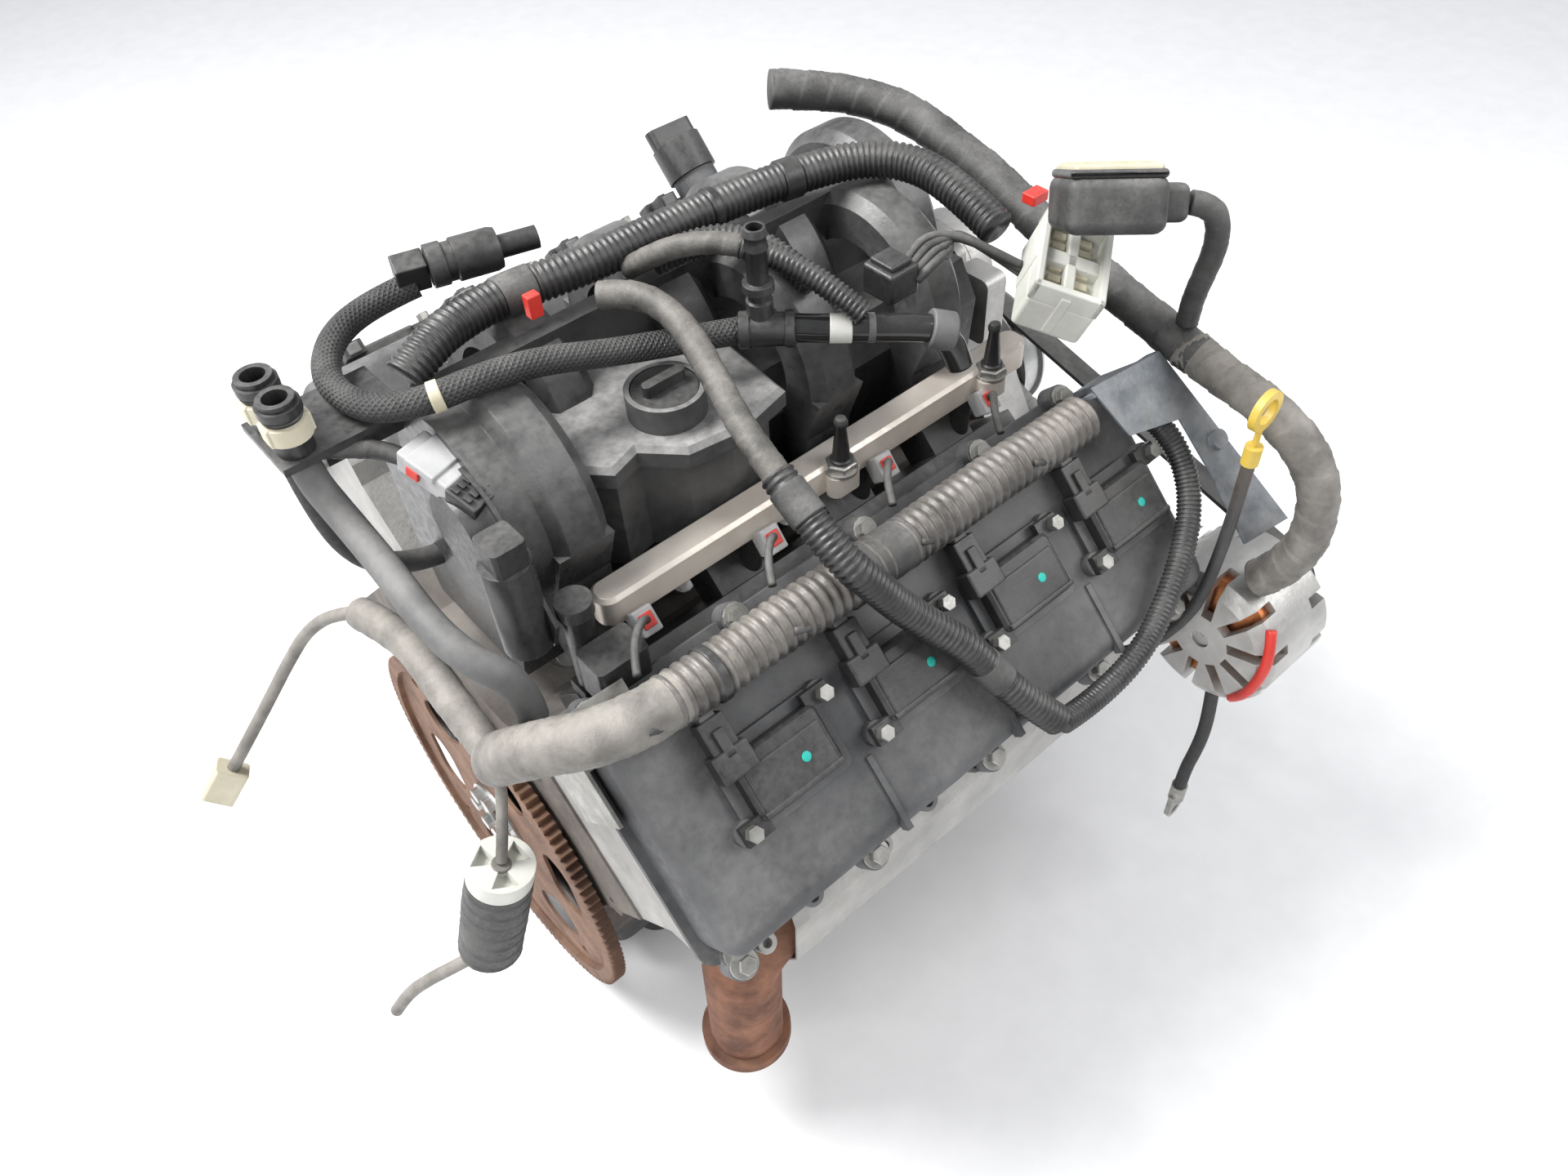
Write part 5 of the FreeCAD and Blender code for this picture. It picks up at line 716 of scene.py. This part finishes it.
def make_injector_plugs():
    """The plugs on the injectors outboard of each rail, with their wires to the loom."""
    for number, x in enumerate(CYLINDER_X):
        top = Vector((x - 6, -153, 325))
        place = pointing(top, (0, -0.75, 0.66))
        box_shell(f"injector_plug_{number}", (-8, -11, -9), (8, 9, 9), MATERIALS["grey_plastic"], 1.5,
                  place=place)
        box_shell(f"injector_lock_{number}", (-5, -6, 8), (5, 5, 11), MATERIALS["red_plastic"], 0.8,
                  place=place)
        wire = [(x - 6, -159, 330), (x - 12, -168, 344), (x - 24, -178, 352), (x - 38, -192, 352),
                (x - 46, -206, 346)]
        sweep_wire(f"injector_wires_{number}", wire, 3.0, "black_tape")


def make_couplings_dress():
    """Cream retaining clips round the two quick couplings, and ribs on their mouths."""
    for number, y in enumerate(COUPLING_Y):
        place = pointing((COUPLING_X, y, 0), (0, 0, 1))
        lathe(f"coupling_clip_{number}", [(12.2, 473), (15, 474), (15, 486), (12.2, 487)],
              MATERIALS["cream"], place, 24)
        box_shell(f"coupling_ear_{number}", (COUPLING_X - 15, y - 7, 473), (COUPLING_X + 15, y + 7, 487),
                  MATERIALS["cream"], 1.5)
        lathe(f"coupling_band_{number}", [(12.2, 488), (13.2, 489), (12.2, 490)], MATERIALS["black"], place,
              24)


def make_plug_dress():
    """The taped jacket on the round plug, its dark hub, and the prongs of the left plug."""
    top = Vector((-71, -191, 236))
    low = Vector((-97, -178, 138))
    way = (low - top).normalized()
    start = top + way * 15.0
    points = [tuple(start.lerp(low, share)) for share in (0.0, 0.35, 0.7, 1.0)]
    sweep("round_plug_jacket", route_line(points, TAPE_STEP), taped(24.2, 13.0, 1.4, 5.0),
          MATERIALS["black_tape"], 30)
    lathe("round_plug_hub", [(6.4, -1.2), (6.8, -0.6), (6.8, 1.5)], MATERIALS["grey_tube"],
          pointing(top, way), 20)
    end = pointing((-172, 102, 134), (-20, 5, -24))
    for k in range(4):
        box_shell(f"left_plug_prong_{k}", (-11.5 + 6 * k, -8.2, 26), (-7.5 + 6 * k, 8.2, 34.5),
                  MATERIALS["cream"], 0.8, place=end)
    box_shell("left_plug_latch", (-6, 8, 6), (6, 11, 26), MATERIALS["cream"], 1.0, place=end)


def make_rear_connector():
    """The grey multi-pin plug at the rear of the intake, with its red lock and its two-row black face."""
    place = (Matrix.Translation(Vector((22, -62, 441)) * MM) @ Matrix.Rotation(math.radians(-74), 4, "Z")
             @ Matrix.Rotation(math.radians(18), 4, "Y"))
    box_shell("rear_plug_body", (-30, -13, -9), (12, 13, 9), MATERIALS["grey_plastic"], 2.0, place=place)
    box_shell("rear_plug_lever", (-22, -14.5, 4), (2, 14.5, 11), MATERIALS["grey_plastic"], 1.5, place=place)
    box_shell("rear_plug_lock", (-20, -15.5, -3), (-10, -12.5, 5), MATERIALS["red_plastic"], 0.8, place=place)
    box_shell("rear_plug_face", (11, -15, -11), (36, 15, 9), MATERIALS["black"], 2.0, place=place)
    for k in range(10):
        y = -11 + 5.5 * (k % 5)
        x = 17 + 10 * (k // 5)
        box_shell(f"rear_plug_cell_{k}", (x - 3, y - 1.8, 8.4), (x + 3, y + 1.8, 11.5), MATERIALS["black"],
                  0.6, place=place)
    wire = [(14, -34, 440), (4, -20, 446), (-8, -12, 450), (-20, -4, 452), (-28, 0, 454)]
    sweep("rear_plug_loom", route_line(wire, TAPE_STEP), taped(7.0, 12.0, 0.8), MATERIALS["black_tape"], 16)


def make_front_bundle():
    """The square black plug and the loose wires over the front runners."""
    box_shell("square_plug", (334, -142, 452), (362, -112, 476), MATERIALS["black"], 3.0)
    box_shell("square_plug_lid", (338, -138, 475), (358, -116, 480), MATERIALS["black"], 1.5)
    for k in range(4):
        shift = 5.0 * k
        wire = [(360, -126 - shift, 462), (378, -118 - 2 * shift, 470 + 3 * k),
                (398, -120 - shift, 474 - 4 * k), (416, -134 + shift, 468), (430, -152 + shift, 458),
                (440, -168, 450 - 2 * k)]
        sweep_wire(f"front_wire_{k}", wire, 3.4, "black_tape" if k % 2 else "rubber")
    arc = [(214, -2, 476), (222, -20, 490), (238, -36, 499), (260, -60, 502), (280, -92, 494),
           (294, -124, 480), (304, -146, 464)]
    line = route_line(arc, RIB_STEP)
    sweep("arc_loom_taped", stretch(line, 0.0, 0.5), taped(8.6, 13.0, 0.8, 1.0), MATERIALS["grey_tape"], 20)
    sweep("arc_loom_ribbed", stretch(line, 0.48, 1.0), corrugated(8.8, 3.8, 1.1), MATERIALS["tube"], 20)


def make_bands():
    """The pale ring on the braided hose, the band on the smooth pipe, ties and tape ends on the looms."""
    hose = route_line(BREATHER_HOSE, BAND_STEP)
    pipe = route_line(BREATHER_PIPE, BAND_STEP)
    top = route_line(TOP_LOOM, BAND_STEP)
    main = route_line(MAIN_LOOM, BAND_STEP)
    crossing = route_line(CROSSING_LOOM, BAND_STEP)
    for name, line, share, length, radius, material in (
            ("hose_ring", hose, 0.46, 0.016, 10.3, "cream"),
            ("pipe_band", pipe, 0.30, 0.10, 10.25, "milky"),
            ("pipe_band_b", pipe, 0.47, 0.03, 10.4, "grey_rubber"),
            ("top_tie", top, 0.50, 0.012, 15.2, "black"),
            ("top_clip", top, 0.62, 0.03, 15.4, "black"),
            ("top_tape", top, 0.17, 0.05, 14.8, "black_tape"),
            ("main_tie", main, 0.34, 0.012, 19.9, "black"),
            ("main_tie_b", main, 0.55, 0.012, 19.9, "black"),
            ("crossing_tie", crossing, 0.42, 0.05, 12.6, "black_tape"),
            ("crossing_tie_b", crossing, 0.83, 0.05, 12.8, "black_tape")):
        sweep(name, stretch(line, share, share + length), smooth_tube(radius), MATERIALS[material], 26)
    box_shell("red_tab", (126, -16, 482), (136, -8, 499), MATERIALS["red_plastic"], 1.0)
    box_shell("red_tab_front", (470, -150, 476), (486, -138, 484), MATERIALS["red_plastic"], 1.0)


def make_alternator_dress():
    """Copper windings inside the slotted housing, and the red cable's boot."""
    axle = pointing(ALTERNATOR_AXLE, (1, 0, 0))
    for k, start in enumerate((14.0, 58.0)):
        lathe(f"alternator_winding_{k}", [(50, start), (58, start + 3), (58.5, start + 12), (50, start + 15)],
              MATERIALS["copper"], axle, 72)
    cable = [(508, -404, 190), (500, -414, 170), (496, -412, 140), (500, -404, 112), (508, -392, 92)]
    sweep_wire("alternator_cable", cable, 4.5, "red_plastic")


# ---- cords that hang free ----
def hang_cord(name, points, radius, material):
    """A curve with a round section."""
    curve = bpy.data.curves.new(name, "CURVE")
    curve.dimensions = "3D"
    curve.resolution_u = 16
    curve.bevel_depth = radius * MM
    curve.bevel_resolution = 5
    curve.use_fill_caps = True
    spline = curve.splines.new("NURBS")
    spline.points.add(len(points) - 1)
    for place, point in zip(spline.points, points):
        place.co = (point[0] * MM, point[1] * MM, point[2] * MM, 1.0)
    spline.order_u = 3
    spline.use_endpoint_u = True
    piece = bpy.data.objects.new(name, curve)
    bpy.context.scene.collection.objects.link(piece)
    curve.materials.append(material)
    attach(piece, "root")
    return piece


def make_cords():
    """The four leads that hang free, each from its exit on the engine to its far end."""
    left = [(-46.4, 13.6, 301.4), (-58, 42, 286), (-76, 70, 258), (-96, 88, 222), (-124, 94, 188),
            (-152, 97, 158), (-172, 102, 134)]
    barrel = [(-43.4, -167.7, 292.8), (-48.5, -173, 279.5), (-56, -180, 266), (-63, -186, 252),
              (-70.2, -190.5, 237.6)]
    tail = [(-98, -177.3, 135.4), (-108, -170, 123), (-124, -157, 106), (-143, -140, 84), (-160, -124, 58),
            (-172, -116, 34)]
    cable = [(515, -372, 75.3), (511, -377, 52), (507, -380, 26), (505, -379, -2), (505, -376, -30),
             (505, -376, -58)]
    cords = (
        ("left_lead_cord", left, 5.0, "tape", "left_lead", 0.239, "connector", ["left_plug"]),
        ("barrel_lead_cord", barrel, 4.0, "tape", "barrel_lead", 0.066, "connector", ["barrel_plug"]),
        ("barrel_tail_cord", tail, 5.0, "tape", "barrel_tail", 0.141, "bare", []),
        ("battery_cable_cord", cable, 6.0, "rubber", "battery_cable", 0.135, "fitting", ["cable_lug"]),
    )
    for name, points, radius, material, node, length, end, pieces in cords:
        cord = hang_cord(name, points, radius, MATERIALS[material])
        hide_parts(node)


# ---- the studio ----
def make_stage():
    """A white floor under the engine."""
    low = cad_box[0][2]
    reach = FLOOR_REACH
    verts = [(-reach, -reach, low), (reach, -reach, low), (reach, reach, low), (-reach, reach, low)]
    mesh = bpy.data.meshes.new("floor")
    mesh.from_pydata(verts, [], [(0, 1, 2, 3)])
    floor = bpy.data.objects.new("floor", mesh)
    bpy.context.scene.collection.objects.link(floor)
    mesh.materials.append(surface("floor_paint", (0.86, 0.86, 0.86), (0.9, 0.9, 0.9), (0.7, 0.8), dust=0.0,
                                  bump=0.02))


def add_light(name, place, target, size, power):
    """A square lamp that faces its target."""
    light = bpy.data.lights.new(name, "AREA")
    light.size = size
    light.energy = power
    lamp = bpy.data.objects.new(name, light)
    bpy.context.scene.collection.objects.link(lamp)
    lamp.location = place
    way = Vector(target) - Vector(place)
    lamp.rotation_euler = way.to_track_quat("-Z", "Y").to_euler()


def make_light():
    """A pale surround with one strong lamp from the far side and two weak ones."""
    world = bpy.data.worlds.new("studio")
    bpy.context.scene.world = world
    world.use_nodes = True
    background = world.node_tree.nodes["Background"]
    background.inputs["Color"].default_value = (0.93, 0.95, 1.0, 1.0)
    background.inputs["Strength"].default_value = WORLD_STRENGTH
    add_light("key", (-0.7, 0.9, 2.3), LIGHT_TARGET, 1.1, 95.0)
    add_light("front", (1.6, -1.4, 1.8), LIGHT_TARGET, 1.4, 30.0)
    add_light("left", (-1.8, -0.8, 1.4), LIGHT_TARGET, 1.2, 18.0)
    bpy.context.scene.view_settings.view_transform = "Standard"


def make_camera():
    """The view from the right, above and a little behind."""
    azimuth = math.radians(CAMERA_AZIMUTH)
    elevation = math.radians(CAMERA_ELEVATION)
    back = Vector((math.sin(azimuth) * math.cos(elevation), -math.cos(azimuth) * math.cos(elevation),
                   math.sin(elevation)))
    data = bpy.data.cameras.new("camera")
    data.sensor_width = CAMERA_SENSOR
    data.lens = CAMERA_LENS
    camera = bpy.data.objects.new("camera", data)
    bpy.context.scene.collection.objects.link(camera)
    turn = back.to_track_quat("Z", "Y").to_matrix().to_4x4()
    roll = Matrix.Rotation(math.radians(CAMERA_ROLL), 4, "Z")
    camera.matrix_world = Matrix.Translation(CAMERA_PLACE) @ turn @ roll
    bpy.context.scene.camera = camera


make_camera()
make_cords()
dress_nodes()
make_taped_looms()
make_black_looms()
make_hoses()
make_wire_connectors()
make_cover_edge()
make_studs()
make_injector_plugs()
make_couplings_dress()
make_plug_dress()
make_rear_connector()
make_front_bundle()
make_bands()
make_alternator_dress()
make_stage()
make_light()
